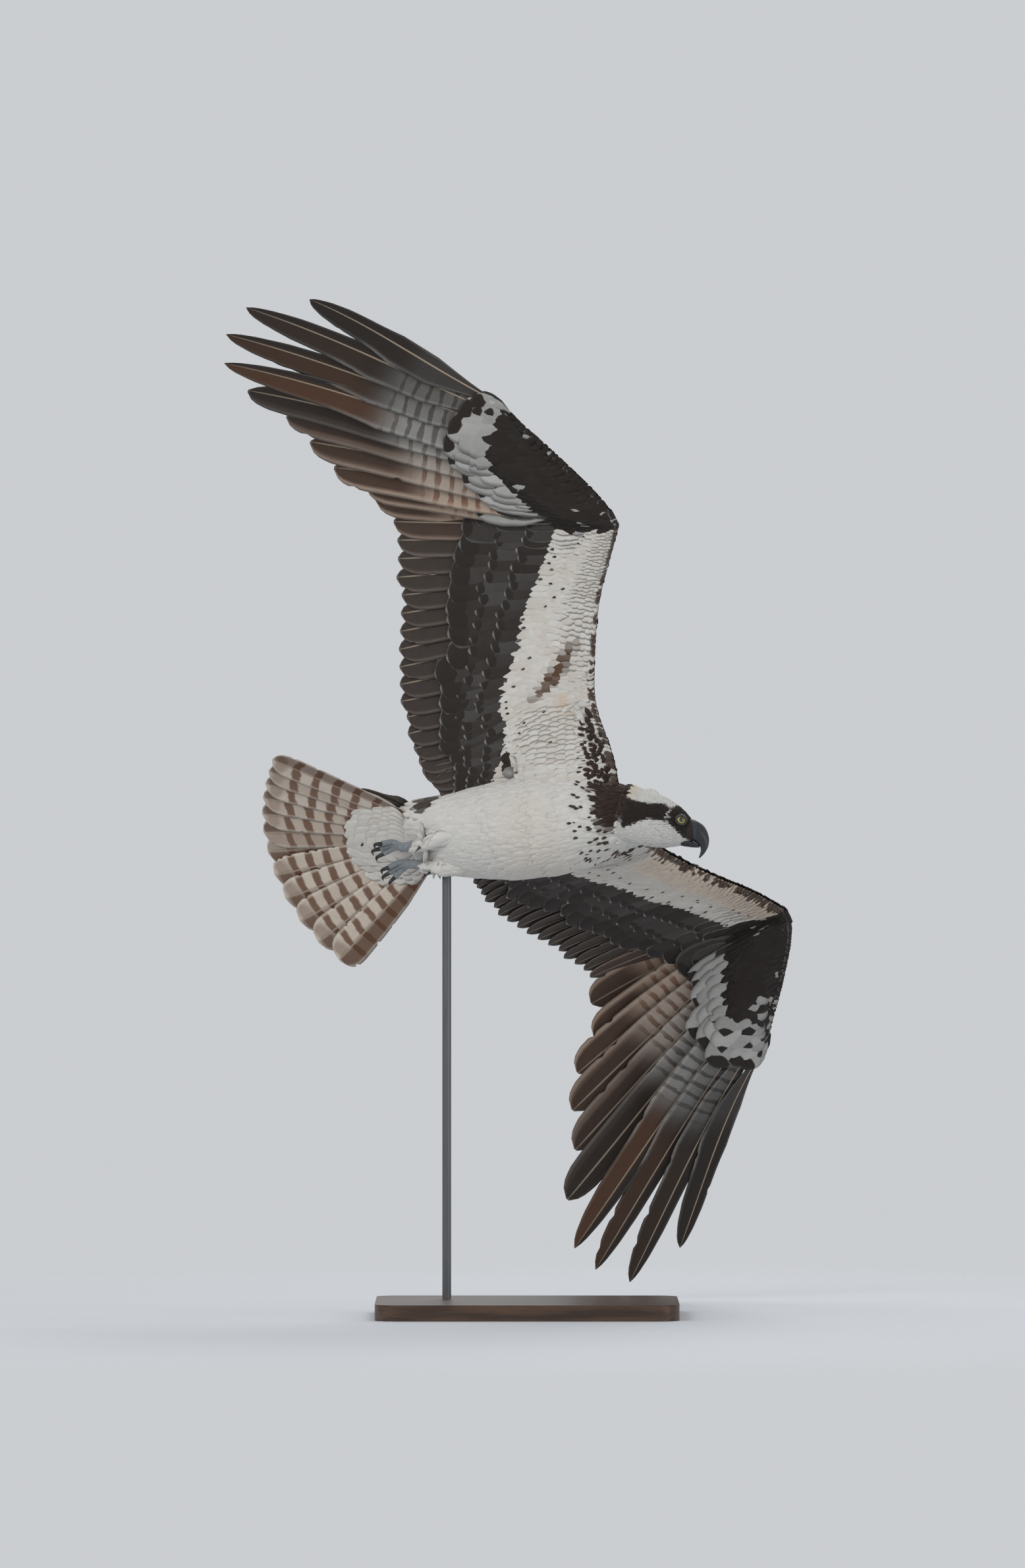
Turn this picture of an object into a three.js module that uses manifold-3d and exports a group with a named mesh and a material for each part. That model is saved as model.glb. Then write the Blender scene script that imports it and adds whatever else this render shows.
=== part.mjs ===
// An osprey in banking flight, life size, on a plain display stand.
// The bird is modelled in its own frame (x forward, y to its left, z to its back) and then banked.
// Sizes are in millimetres. The origin is the middle of the stand's underside, with +Z up.
import * as THREE from "three";
import { mergeVertices } from "three/addons/utils/BufferGeometryUtils.js";
import Module from "manifold-3d";

const wasm = await Module();
wasm.setup();

// Driving dimensions

const touchGap = 0.35;
const birdHeight = 550;
const bank = { heading: -24.8, climb: 5.2, roll: -53.9 };

// Each station: place along the body, height of its middle, half width, rise above it, fall below it.
const bodyStations = [
  [-158, 6, 30, 9, 12],
  [-145, 5, 41, 14, 20],
  [-120, 3, 50, 22, 32],
  [-85, 0, 54, 34, 45],
  [-40, 0, 59, 44, 55],
  [0, 1, 61, 48, 60],
  [40, 3, 60, 48, 60],
  [72, 5, 56, 45, 56],
  [98, 5, 48, 40, 50],
  [122, 3, 39, 35, 43],
  [142, 0, 34, 32, 37],
  [162, -3, 30, 29, 32],
];
const bodySides = 18;
const neckStart = 100;

// The head's own frame starts at the middle of the skull; it is turned to look along the flight.
const headPlace = [169, 2, -8];
const headTurn = { yaw: 25, pitch: -2, roll: 40 };
const headRear = -30;
const skullStations = [
  [-42, 0, 31, 30, 33],
  [-30, -1, 31, 30, 34],
  [-15, -2, 30, 29.5, 33],
  [0, -3, 28.5, 28.5, 31],
  [13, -4, 25.5, 25, 27.5],
  [24, -5, 21, 20.5, 22.5],
  [33, -6, 15.5, 15, 17.5],
  [40, -7, 11, 11.5, 13],
];
const skullSides = 18;
const eye = { forward: 22, side: 17.4, up: 0.5, radius: 6.8, slant: 0.42 };
const lid = { radius: 7, thickness: 1.4, out: 3.4 };
const brow = { length: 27, height: 8, width: 9, above: 7.2 };
const gape = { back: 15, front: 36, drop: -15.5, height: 0.7 };
// Upper bill, from the cere to the hooked tip: the ridge's x and z, the cutting edge's x and z, half width.
const upperBill = [
  [34, 7, 33, -15, 10.2],
  [40, 6.6, 38.5, -15.8, 9],
  [47, 3.6, 43.5, -17.2, 7.4],
  [53, -2.2, 47, -19, 5.7],
  [57, -10, 49.6, -21, 4.2],
  [58, -18, 51, -24.4, 3],
  [56.2, -26, 51.2, -29, 1.8],
  [52.6, -32.8, 51, -33, 0.7],
];
const lowerBill = [
  [29, -15.4, 29, -24.4, 7.4],
  [36, -16.4, 36, -23.6, 6.2],
  [42, -18, 42, -22.6, 4.5],
  [47, -20, 46.8, -21.3, 2],
];
const nostril = { forward: 41, side: 8, up: -2, long: 2.6, high: 1.1, deep: 2.2, tilt: 0.5 };

// The wings' leading edges, in the bird's frame with y outward: from the body to the wrist, then the hand.
const arms = {
  right: [
    [122, 22, 8],
    [115, 60, 38],
    [95, 100, 80],
    [98, 136, 103],
    [115, 200, 136],
    [135, 240, 155],
    [155, 277, 172],
  ],
  left: [
    [122, 22, 8],
    [118, 60, 44],
    [101, 100, 86],
    [105, 136, 111],
    [127, 200, 153],
    [150, 240, 176],
    [172, 277, 190],
  ],
};
const armChords = [150, 150, 126, 108, 78, 60, 46];
const armThickness = [40, 38, 28, 23, 18, 16, 14];
const hands = {
  right: [[148, 300, 178], [110, 370, 182], [64, 462, 172]],
  left: [[172, 300, 190], [140, 370, 186], [86, 462, 176]],
};
const handChords = [44, 36, 9];
const handThickness = [13, 10, 3];
// Tips of the ten primaries, from the innermost outward.
const primaryTips = [
  [-103, 357, 155],
  [-108, 394, 132],
  [-125, 427, 119],
  [-139, 471, 108],
  [-147, 517, 94],
  [-168, 570, 71],
  [-170, 623, 48],
  [-156, 658, 51],
  [-124, 685, 58],
  [-64, 666, 91],
];
const primaryWidths = [44, 44, 44, 43, 42, 41, 40, 38, 37, 34];
const primaryRise = 13;
// The line of the secondaries' tips, from the wrist to the body.
const secondaryTips = [[-96, 323, 158], [-103, 239, 105], [-114, 159, 56], [-106, 85, 17], [-88, 50, 4]];
const secondaryCount = 15;
const secondaryWidth = 40;
const trailingShift = { right: -11, left: 12 };
const armUp = [-0.161, -0.52, 0.835];
const handUp = [-0.144, 0.141, 0.979];
// A vane's outline: place from root to tip, share of the full width. Outer primaries narrow to fingers.
const broadVane = [[0, 0.35], [0.22, 0.85], [0.6, 1], [0.86, 0.9], [0.96, 0.58], [1, 0.14]];
const fingerVane = [[0, 0.35], [0.2, 0.9], [0.48, 1], [0.62, 0.74], [0.84, 0.6], [0.96, 0.34], [1, 0.1]];
const covertVane = [[0, 0.4], [0.45, 1], [0.85, 0.84], [1, 0.2]];
const vane = { thickness: 1.1, thinning: 0.5, slope: 0.1, outerShare: 0.4, fingerShare: 0.36 };
const fingers = 4;
// Coverts reach past the flesh on both faces of a wing and stand off the vanes that they cover.
const covert = { reach: 44, lift: 3.2, width: 42, spacing: 2 };
const wobble = { seed: 7, length: 0.025 };

const tailRoot = [-132, 0, 4];
const tailFeathers = 12;
// The bird steers with its tail, so the left half reaches further back than the right one, by the lean.
const tail = {
  length: 203, base: 38, lean: 0.15, spread: 45, width: 43,
  drop: 22, arch: 24, step: 1.7, flesh: 58,
};
const tailCovert = { count: 5, reach: 82, width: 40, spread: 32, lift: 6 };

const leg = {
  hip: [-34, 25, -27],
  knee: [-74, 21, -43],
  ankle: [-106, 15, -38],
  foot: [-134, 11.5, -33],
};
const ankleCut = 3;
const legSizes = { thigh: 16, knee: 12, ankle: 6.2, shank: 5.2 };
const toe = { length: 25, radius: 3.8, claw: 14 };
// The way that each toe turns out from straight back, in radians, and its share of the full length.
const toes = [[-0.08, 1], [0.2, 1.1], [0.5, 1], [2.9, 0.8]];

const base = { length: 340, width: 280, height: 18, corner: 26 };
const rod = { radius: 5, along: -100, sides: 24 };

// Small tools for shapes

function vec(p) {
  return new THREE.Vector3(p[0], p[1], p[2]);
}

function mirrored(p, side) {
  return new THREE.Vector3(p[0], side * p[1], p[2]);
}

function turned(yaw, pitch, roll) {
  const rad = THREE.MathUtils.degToRad;
  return new THREE.Matrix4().makeRotationFromEuler(new THREE.Euler(rad(roll), rad(pitch), rad(yaw), "ZYX"));
}

function solidOf(geometry) {
  const plain = geometry.clone();
  plain.deleteAttribute("normal");
  plain.deleteAttribute("uv");
  const merged = mergeVertices(plain, 1e-4);
  const mesh = new wasm.Mesh({
    numProp: 3,
    vertProperties: new Float32Array(merged.attributes.position.array),
    triVerts: new Uint32Array(merged.index.array),
  });
  return new wasm.Manifold(mesh);
}

function geometryOf(solid) {
  const mesh = solid.getMesh();
  const geometry = new THREE.BufferGeometry();
  geometry.setAttribute("position", new THREE.BufferAttribute(mesh.vertProperties, 3));
  geometry.setIndex(new THREE.BufferAttribute(mesh.triVerts, 1));
  geometry.computeVertexNormals();
  return geometry;
}

function largest(solid) {
  const bodies = solid.decompose();
  bodies.sort((a, b) => b.volume() - a.volume());
  return bodies[0];
}

function sampled(values, t) {
  const place = t * (values.length - 1);
  const slot = Math.min(Math.floor(place), values.length - 2);
  return THREE.MathUtils.lerp(values[slot], values[slot + 1], place - slot);
}

// Points and triangles as a solid, turned to face out whichever way they were wound.
function closedSolid(points, triangles) {
  let volume = 0;
  const cross = new THREE.Vector3();
  for (const [a, b, c] of triangles) {
    volume += points[a].dot(cross.crossVectors(points[b], points[c]));
  }
  const faces = volume < 0 ? triangles.map(([a, b, c]) => [a, c, b]) : triangles;
  const geometry = new THREE.BufferGeometry();
  geometry.setAttribute("position", new THREE.Float32BufferAttribute(points.flatMap((p) => p.toArray()), 3));
  geometry.setIndex(faces.flat());
  return solidOf(geometry);
}

// Rings of equal count joined into one closed body with a fan at each end.
function loft(rings) {
  const sides = rings[0].length;
  const points = rings.flat();
  const triangles = [];
  for (let k = 0; k + 1 < rings.length; k++) {
    for (let i = 0; i < sides; i++) {
      const j = (i + 1) % sides;
      const near = k * sides;
      const far = near + sides;
      triangles.push([near + i, near + j, far + j], [near + i, far + j, far + i]);
    }
  }
  for (const [ring, flip] of [[0, true], [rings.length - 1, false]]) {
    const middle = new THREE.Vector3();
    rings[ring].forEach((p) => middle.add(p));
    points.push(middle.divideScalar(sides));
    for (let i = 0; i < sides; i++) {
      const a = ring * sides + i;
      const b = ring * sides + ((i + 1) % sides);
      triangles.push(flip ? [points.length - 1, b, a] : [points.length - 1, a, b]);
    }
  }
  return closedSolid(points, triangles);
}

// An oval ring about a point, with its own rise and fall.
function ovalRing(middle, across, up, halfWidth, rise, fall, sides) {
  return Array.from({ length: sides }, (_, i) => {
    const angle = (2 * Math.PI * (i + 0.5)) / sides;
    const height = Math.sin(angle) * (Math.sin(angle) > 0 ? rise : fall);
    return middle.clone().addScaledVector(across, Math.cos(angle) * halfWidth).addScaledVector(up, height);
  });
}

// A round limb along a few points, with a radius at each.
function limb(points, radii, sides) {
  const curve = new THREE.CatmullRomCurve3(points, false, "centripetal");
  const count = (points.length - 1) * 2;
  const rings = [];
  for (let k = 0; k <= count; k++) {
    const t = k / count;
    const along = curve.getTangent(t);
    const across = new THREE.Vector3(0, 0, 1).cross(along).normalize();
    const up = along.clone().cross(across);
    const radius = sampled(radii, t);
    rings.push(ovalRing(curve.getPoint(t), across, up, radius, radius, radius, sides));
  }
  return loft(rings);
}

function ellipsoid(center, sizes, matrix, detail) {
  const geometry = new THREE.SphereGeometry(1, detail, Math.round(detail * 0.7));
  geometry.scale(sizes[0], sizes[1], sizes[2]);
  if (matrix) geometry.applyMatrix4(matrix);
  geometry.translate(center[0], center[1], center[2]);
  return solidOf(geometry);
}

// Body and neck

function bodyFlesh(grow) {
  const across = vec([0, 1, 0]);
  const up = vec([0, 0, 1]);
  const curve = new THREE.CatmullRomCurve3(bodyStations.map(([x, z]) => vec([x, 0, z])));
  const sizes = new THREE.CatmullRomCurve3(bodyStations.map(([, , w, rise, fall]) => vec([w, rise, fall])));
  const count = bodyStations.length + 5;
  const rings = [];
  for (let k = 0; k <= count; k++) {
    const t = k / count;
    const size = sizes.getPoint(t).addScalar(grow);
    const middle = curve.getPoint(t);
    if (k === 0) middle.x -= grow;
    rings.push(ovalRing(middle, across, up, size.x, size.y, size.z, bodySides));
  }
  return loft(rings);
}

const headMatrix = turned(headTurn.yaw, headTurn.pitch, headTurn.roll).setPosition(vec(headPlace));
const headForward = vec([1, 0, 0]).transformDirection(headMatrix);

// The height along the head's own axis of a plane across it.
function headPlane(forward) {
  return vec([forward, 0, 0]).applyMatrix4(headMatrix).dot(headForward);
}

function torsoSolid(grow = 0) {
  const tailCut = tailRoot[0] - 4;
  return bodyFlesh(grow)
    .trimByPlane([-1, 0, 0], -neckStart - grow)
    .trimByPlane([1, 0, 0], tailCut - grow);
}

function neckSolid() {
  return bodyFlesh(0)
    .trimByPlane([1, 0, 0], neckStart + touchGap)
    .trimByPlane(headForward.clone().negate().toArray(), -headPlane(headRear) + touchGap);
}

// Head, built in its own frame

function inHeadFrame(solid) {
  return solid.transform(headMatrix.elements);
}

function skullFlesh() {
  const across = vec([0, 1, 0]);
  const up = vec([0, 0, 1]);
  const curve = new THREE.CatmullRomCurve3(skullStations.map(([x, z]) => vec([x, 0, z])));
  const sizes = new THREE.CatmullRomCurve3(skullStations.map(([, , w, rise, fall]) => vec([w, rise, fall])));
  const count = 12;
  const rings = [];
  for (let k = 0; k <= count; k++) {
    const size = sizes.getPoint(k / count);
    rings.push(ovalRing(curve.getPoint(k / count), across, up, size.x, size.y, size.z, skullSides));
  }
  return loft(rings);
}

function billSolid(stations, grow) {
  const middles = stations.map(([rx, rz, ex, ez]) => vec([(rx + ex) / 2, 0, (rz + ez) / 2]));
  const halves = stations.map(([rx, rz, ex, ez]) => vec([(rx - ex) / 2, 0, (rz - ez) / 2]));
  const middle = new THREE.CatmullRomCurve3(middles);
  const half = new THREE.CatmullRomCurve3(halves);
  const widths = stations.map((station) => station[4]);
  const across = vec([0, 1, 0]);
  const count = Math.round(stations.length * 1.5);
  const rings = [];
  for (let k = 0; k <= count; k++) {
    const t = k / count;
    const up = half.getPoint(t);
    const high = up.length() + grow;
    up.normalize();
    rings.push(ovalRing(middle.getPoint(t), across, up, sampled(widths, t) + grow, high, high, 12));
  }
  return loft(rings);
}

function upperBillSolid() {
  let solid = billSolid(upperBill, 0).trimByPlane([1, 0, 0], upperBill[0][0] + touchGap);
  for (const side of [-1, 1]) {
    const sizes = [nostril.long, nostril.deep, nostril.high];
    const tilt = new THREE.Matrix4().makeRotationY(nostril.tilt);
    solid = solid.subtract(ellipsoid([nostril.forward, side * nostril.side, nostril.up], sizes, tilt, 8));
  }
  return solid;
}

function lowerBillSolid() {
  return billSolid(lowerBill, 0)
    .trimByPlane([1, 0, 0], lowerBill[0][0] + touchGap)
    .subtract(billSolid(upperBill, touchGap));
}

function eyePlace(side) {
  return [eye.forward, side * eye.side, eye.up];
}

function eyeballSolid(side, grow) {
  return ellipsoid(eyePlace(side), [eye.radius + grow, eye.radius * 0.8 + grow, eye.radius + grow], null, 12);
}

function lidSolid(side) {
  const ring = new THREE.TorusGeometry(lid.radius, lid.thickness, 5, 12);
  ring.rotateX(Math.PI / 2);
  ring.rotateZ(side * -eye.slant);
  ring.translate(eye.forward + lid.out * Math.sin(eye.slant), side * (eye.side + lid.out), eye.up);
  return solidOf(ring);
}

function browSolid(side) {
  const sizes = [brow.length / 2, brow.width / 2, brow.height / 2];
  const slant = new THREE.Matrix4().makeRotationZ(side * -eye.slant);
  return ellipsoid([eye.forward - 2, side * eye.side * 0.96, eye.up + brow.above], sizes, slant, 10);
}

function headSolid() {
  let solid = skullFlesh();
  for (const side of [-1, 1]) solid = solid.add(browSolid(side)).add(lidSolid(side));
  for (const side of [-1, 1]) solid = solid.subtract(eyeballSolid(side, touchGap));
  const mouth = new THREE.BoxGeometry(gape.front - gape.back, 60, gape.height);
  mouth.rotateY(0.12);
  mouth.translate((gape.front + gape.back) / 2, 0, gape.drop);
  const core = ellipsoid([16, 0, gape.drop], [20, 13, 8], null, 8);
  solid = solid.subtract(solidOf(mouth).subtract(core));
  solid = solid
    .subtract(billSolid(upperBill, touchGap).trimByPlane([1, 0, 0], upperBill[0][0]))
    .subtract(billSolid(lowerBill, touchGap).trimByPlane([1, 0, 0], lowerBill[0][0]));
  return largest(solid.trimByPlane([1, 0, 0], headRear));
}

// Wings

function wingFrame(name) {
  const side = name === "right" ? -1 : 1;
  const armPoints = arms[name].map((p) => mirrored(p, side));
  const handPoints = hands[name].map((p) => mirrored(p, side));
  const upArm = mirrored(armUp, side).normalize();
  const upHand = mirrored(handUp, side).normalize();
  const arm = new THREE.CatmullRomCurve3(armPoints);
  const wrist = armPoints[armPoints.length - 1];
  const handLine = new THREE.CatmullRomCurve3([wrist, ...handPoints]);
  const backArm = vec([-1, 0, 0]).projectOnPlane(upArm).normalize();
  const backHand = handPoints.at(-1).clone().sub(wrist).cross(upHand).normalize();
  if (backHand.x > 0) backHand.negate();
  return { name, side, arm, handLine, upArm, upHand, backArm, backHand };
}

// A wing section: blunt in front, thin behind.
function wingRing(lead, back, up, chord, thickness) {
  const sides = 10;
  return Array.from({ length: sides }, (_, i) => {
    const angle = (2 * Math.PI * (i + 0.5)) / sides;
    const along = (1 - Math.cos(angle)) / 2;
    const height = (Math.sin(angle) * thickness * (0.3 + 0.7 * Math.pow(1 - along, 0.6))) / 2;
    return lead.clone().addScaledVector(back, along * chord).addScaledVector(up, height);
  });
}

function wingFlesh(wing) {
  const rings = [];
  const armSteps = 7;
  const handSteps = 5;
  for (let k = 0; k <= armSteps; k++) {
    const t = k / armSteps;
    const ring = [wing.arm.getPoint(t), wing.backArm, wing.upArm];
    rings.push(wingRing(...ring, sampled(armChords, t), sampled(armThickness, t)));
  }
  for (let k = 1; k <= handSteps; k++) {
    const t = k / handSteps;
    const turn = Math.min(1, t * 2);
    const up = wing.upArm.clone().lerp(wing.upHand, turn).normalize();
    const back = wing.backArm.clone().lerp(wing.backHand, turn).projectOnPlane(up).normalize();
    const chord = sampled([armChords.at(-1), ...handChords], t);
    const thickness = sampled([armThickness.at(-1), ...handThickness], t);
    rings.push(wingRing(wing.handLine.getPoint(t), back, up, chord, thickness));
  }
  return loft(rings);
}

// Repeatable small variation, between -1 and 1.
function wobbler(seed) {
  let state = seed;
  return () => {
    state = (state * 16807) % 2147483647;
    return (2 * state) / 2147483647 - 1;
  };
}

// Each line says where a flight feather leaves the flesh, where its tip is and how long the flesh covers it.
function primaryLines(wing) {
  const last = primaryTips.length - 1;
  const lines = primaryTips.map((tip, i) => {
    const t = 0.04 + (0.96 * i) / last;
    const turn = Math.min(1, t * 2);
    const up = wing.upArm.clone().lerp(wing.upHand, turn).normalize();
    const back = wing.backArm.clone().lerp(wing.backHand, turn).projectOnPlane(up).normalize();
    const chord = sampled([armChords.at(-1), ...handChords], t);
    const root = wing.handLine.getPoint(t).addScaledVector(back, chord * 0.5);
    const end = mirrored(tip, wing.side);
    end.x += trailingShift[wing.name] * Math.max(0, 1 - i / 3);
    const finger = i > last - fingers;
    return {
      root,
      tip: end,
      up,
      width: primaryWidths[i],
      rise: primaryRise,
      outline: finger ? fingerVane : broadVane,
      share: finger ? vane.fingerShare : vane.outerShare,
      covered: chord * 0.5,
    };
  });
  return withSurface(lines);
}

function secondaryLines(wing) {
  const tips = new THREE.CatmullRomCurve3(secondaryTips.map((p) => mirrored(p, wing.side)));
  const random = wobbler(wobble.seed + wing.side);
  const lines = Array.from({ length: secondaryCount }, (_, i) => {
    const s = i / (secondaryCount - 1);
    const t = 1 - s * 0.95;
    const chord = sampled(armChords, t);
    const root = wing.arm.getPoint(t).addScaledVector(wing.backArm, chord * 0.55);
    const end = tips.getPoint(s);
    end.x += trailingShift[wing.name] * (1 - s * s);
    end.lerp(root, wobble.length * random());
    return {
      root,
      tip: end,
      up: wing.upArm,
      width: secondaryWidth,
      rise: 6,
      outline: broadVane,
      share: vane.outerShare,
      covered: chord * 0.45,
    };
  });
  return withSurface(lines);
}

// Gives each line the way up at its root and tip, square to the surface that its neighbours lie in.
function withSurface(lines) {
  lines.forEach((line, i) => {
    const before = lines[Math.max(0, i - 1)];
    const after = lines[Math.min(lines.length - 1, i + 1)];
    const along = line.tip.clone().sub(line.root);
    const square = (end) => {
      const up = along.clone().cross(after[end].clone().sub(before[end])).normalize();
      return up.dot(line.up) < 0 ? up.negate() : up;
    };
    line.rootUp = square("root");
    line.tipUp = square("tip").add(line.up).normalize();
  });
  return lines;
}

// One feather along a line: a thin tapering vane, four points to a section, its outer edge towards the back.
// Its faces are split into triangles alike. The lift carries a covert clear of the vane under it.
function vaneSolid(line, side, part = {}) {
  const { from = 0, to = 1, lift = 0, width = line.width, outline = line.outline } = part;
  const points = [];
  for (const [place, share] of outline) {
    const t = from + (to - from) * place;
    const up = line.rootUp.clone().lerp(line.tipUp, t).normalize();
    const along = line.tip.clone().sub(line.root);
    along.addScaledVector(up, line.rise * 4 * (1 - 2 * t)).normalize();
    const across = along.clone().cross(up).multiplyScalar(side).normalize();
    const raised = line.rise * 4 * t * (1 - t) + lift * Math.min(1, 0.25 + place * 1.5);
    const middle = line.root.clone().lerp(line.tip, t).addScaledVector(up, raised);
    const wide = width * share;
    const half = (vane.thickness * (1 - vane.thinning * place)) / 2;
    const edges = [wide * line.share, -wide * (1 - line.share)];
    for (const [edge, face] of [[0, 1], [1, 1], [1, -1], [0, -1]]) {
      const reach = edges[edge];
      const tilt = reach * vane.slope * (line.flat ? 0 : 1);
      points.push(middle.clone().addScaledVector(across, reach).addScaledVector(up, tilt + face * half));
    }
  }
  const triangles = [[0, 1, 2], [0, 2, 3]];
  for (let k = 0; k + 4 < points.length; k += 4) {
    const next = k + 4;
    triangles.push([k, next + 1, k + 1], [k, next, next + 1]);
    triangles.push([k + 3, k + 2, next + 2], [k + 3, next + 2, next + 3]);
    triangles.push([k + 1, next + 1, next + 2], [k + 1, next + 2, k + 2]);
    triangles.push([k, next + 3, next], [k, k + 3, next + 3]);
  }
  const end = points.length - 4;
  triangles.push([end, end + 2, end + 1], [end, end + 3, end + 2]);
  return closedSolid(points, triangles);
}

// The line at a share of the way from the first line to the last.
function lineBetween(lines, share) {
  const place = share * (lines.length - 1);
  const slot = Math.min(Math.floor(place), lines.length - 2);
  const near = lines[slot];
  const far = lines[slot + 1];
  const line = { ...near, covered: THREE.MathUtils.lerp(near.covered, far.covered, place - slot) };
  for (const key of ["root", "tip", "rootUp", "tipUp"]) {
    line[key] = near[key].clone().lerp(far[key], place - slot);
  }
  return line;
}

// Flight feathers with a row of greater coverts on each face, fused to the flesh that they grow from.
function feathered(flesh, lines, side) {
  let solid = flesh;
  for (const line of lines) solid = solid.add(vaneSolid(line, side));
  const count = Math.round((lines.length - 1) / covert.spacing);
  for (let i = 0; i <= count; i++) {
    const line = lineBetween(lines, i / count);
    const reach = Math.min(0.8, (line.covered + covert.reach) / line.tip.distanceTo(line.root));
    for (const face of [1, -1]) {
      const part = { to: reach, lift: face * covert.lift, width: covert.width, outline: covertVane };
      solid = solid.add(vaneSolid(line, side, part));
    }
  }
  return solid;
}

// The plane that parts arm from hand runs between the first secondary and the first primary.
function wristPlane(wing) {
  const inner = secondaryLines(wing)[0];
  const outer = primaryLines(wing)[0];
  const along = inner.tip.clone().sub(inner.root).add(outer.tip).sub(outer.root).normalize();
  const up = inner.up.clone().add(outer.up).normalize();
  const normal = along.cross(up).normalize();
  if (normal.y * wing.side < 0) normal.negate();
  const middle = inner.tip.clone().add(outer.tip).add(inner.root).add(outer.root).multiplyScalar(0.25);
  return { normal, offset: normal.dot(middle) };
}

function armSolid(wing) {
  const plane = wristPlane(wing);
  const whole = feathered(wingFlesh(wing), secondaryLines(wing), wing.side);
  const parted = whole.trimByPlane(plane.normal.clone().negate().toArray(), -plane.offset + touchGap / 2);
  return largest(parted.subtract(bodyFlesh(touchGap)));
}

function handSolid(wing) {
  const plane = wristPlane(wing);
  const whole = feathered(wingFlesh(wing), primaryLines(wing), wing.side);
  return largest(whole.trimByPlane(plane.normal.toArray(), plane.offset + touchGap / 2));
}

// Tail

// The tail's vanes lie in a low arch, the middle pair on top and each pair under the one inside it.
function tailLine(place, spread, length, width, height) {
  const angle = THREE.MathUtils.degToRad(spread * place);
  const up = vec([0.08, 0.3 * place, 1]).normalize();
  const lowered = (tail.drop - tail.arch * place * place) * (length / tail.length);
  const reach = length * (1 + tail.lean * place * (1 - 0.6 * place * place));
  const tip = vec([tailRoot[0] - reach * Math.cos(angle), reach * Math.sin(angle), lowered]);
  const root = vec(tailRoot).add(vec([-6, tail.base * place, 0]));
  return {
    root: root.addScaledVector(up, height),
    tip: tip.addScaledVector(up, height),
    rootUp: up,
    tipUp: up,
    width,
    rise: 0,
    outline: broadVane,
    share: 0.5,
    flat: true,
  };
}

function tailSolid() {
  const across = vec([0, 1, 0]);
  const up = vec([0, 0, 1]);
  const stations = [[0, 43, 13, 21], [0.35, 42, 10, 15], [0.7, 36, 6, 8], [1, 28, 2.4, 3]];
  let solid = loft(stations.map(([t, wide, rise, fall]) => {
    const middle = vec([tailRoot[0] - tail.flesh * t, 0, tailRoot[2] + 5 * t]);
    return ovalRing(middle, across, up, wide, rise, fall, 14);
  }));
  for (let i = 0; i < tailFeathers; i++) {
    const place = (2 * i) / (tailFeathers - 1) - 1;
    const pair = Math.floor(Math.abs(i - (tailFeathers - 1) / 2));
    const height = -tail.step * (pair + (place < 0 ? 0.95 : 0)) * (place < 0 ? 0.95 : 1);
    solid = solid.add(vaneSolid(tailLine(place, tail.spread, tail.length, tail.width, height), 1));
  }
  const bottom = (-tail.step * tailFeathers) / 2;
  for (const [face, level] of [[1, 0], [-1, bottom]]) {
    for (let i = 0; i < tailCovert.count; i++) {
      const place = (2 * i) / (tailCovert.count - 1) - 1;
      const height = level + face * (tailCovert.lift - 1.5 * Math.abs(i - (tailCovert.count - 1) / 2 + 0.25));
      const line = tailLine(place, tailCovert.spread, tailCovert.reach, tailCovert.width, height);
      solid = solid.add(vaneSolid(line, 1, { outline: covertVane }));
    }
  }
  return largest(solid.trimByPlane([-1, 0, 0], -(tailRoot[0] - 4 - touchGap)));
}

// Legs, folded back under the tail

function legSolid(side) {
  const points = [leg.hip, leg.knee, leg.ankle, leg.foot].map((p) => mirrored(p, side));
  const radii = [legSizes.thigh, legSizes.knee, legSizes.ankle, legSizes.shank];
  const whole = limb(points, radii, 12).subtract(bodyFlesh(touchGap));
  return largest(whole.trimByPlane([1, 0, 0], leg.foot[0] + ankleCut));
}

function footSolid(side) {
  const palm = mirrored(leg.foot, side);
  let solid = limb([palm.clone().add(vec([2.5, 0, 0])), palm.clone().add(vec([-9, 0, -2]))], [6, 5.5], 12);
  for (const [turn, reach] of toes) {
    const way = vec([-Math.cos(turn), side * Math.sin(turn), 0]);
    const start = palm.clone().add(vec([-4, 0, -2]));
    const knuckle = start.clone().addScaledVector(way, toe.length * reach * 0.55).add(vec([0, 0, 3]));
    const pad = start.clone().addScaledVector(way, toe.length * reach).add(vec([0, 0, -5]));
    const clawTip = pad.clone().addScaledVector(way, toe.claw * 0.2).add(vec([0, 0, -toe.claw]));
    const bend = pad.clone().addScaledVector(way, toe.claw * 0.45).add(vec([0, 0, -toe.claw * 0.4]));
    solid = solid
      .add(limb([start, knuckle, pad], [toe.radius, toe.radius * 0.95, toe.radius * 0.8], 6))
      .add(limb([pad, bend, clawTip], [2.3, 1.7, 0.35], 5));
  }
  return largest(solid.trimByPlane([-1, 0, 0], -(leg.foot[0] + ankleCut - touchGap)));
}

// Stand

function baseSolid() {
  const plan = new THREE.Shape();
  const x = base.length / 2;
  const y = base.width / 2;
  const r = base.corner;
  plan.moveTo(-x + r, -y);
  plan.lineTo(x - r, -y);
  plan.absarc(x - r, -y + r, r, -Math.PI / 2, 0, false);
  plan.absarc(x - r, y - r, r, 0, Math.PI / 2, false);
  plan.absarc(-x + r, y - r, r, Math.PI / 2, Math.PI, false);
  plan.absarc(-x + r, -y + r, r, Math.PI, 1.5 * Math.PI, false);
  const settings = { depth: base.height, bevelEnabled: false, curveSegments: 6 };
  return solidOf(new THREE.ExtrudeGeometry(plan, settings));
}

const birdMatrix = turned(bank.heading, -bank.climb, bank.roll).setPosition(0, 0, birdHeight);

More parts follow.
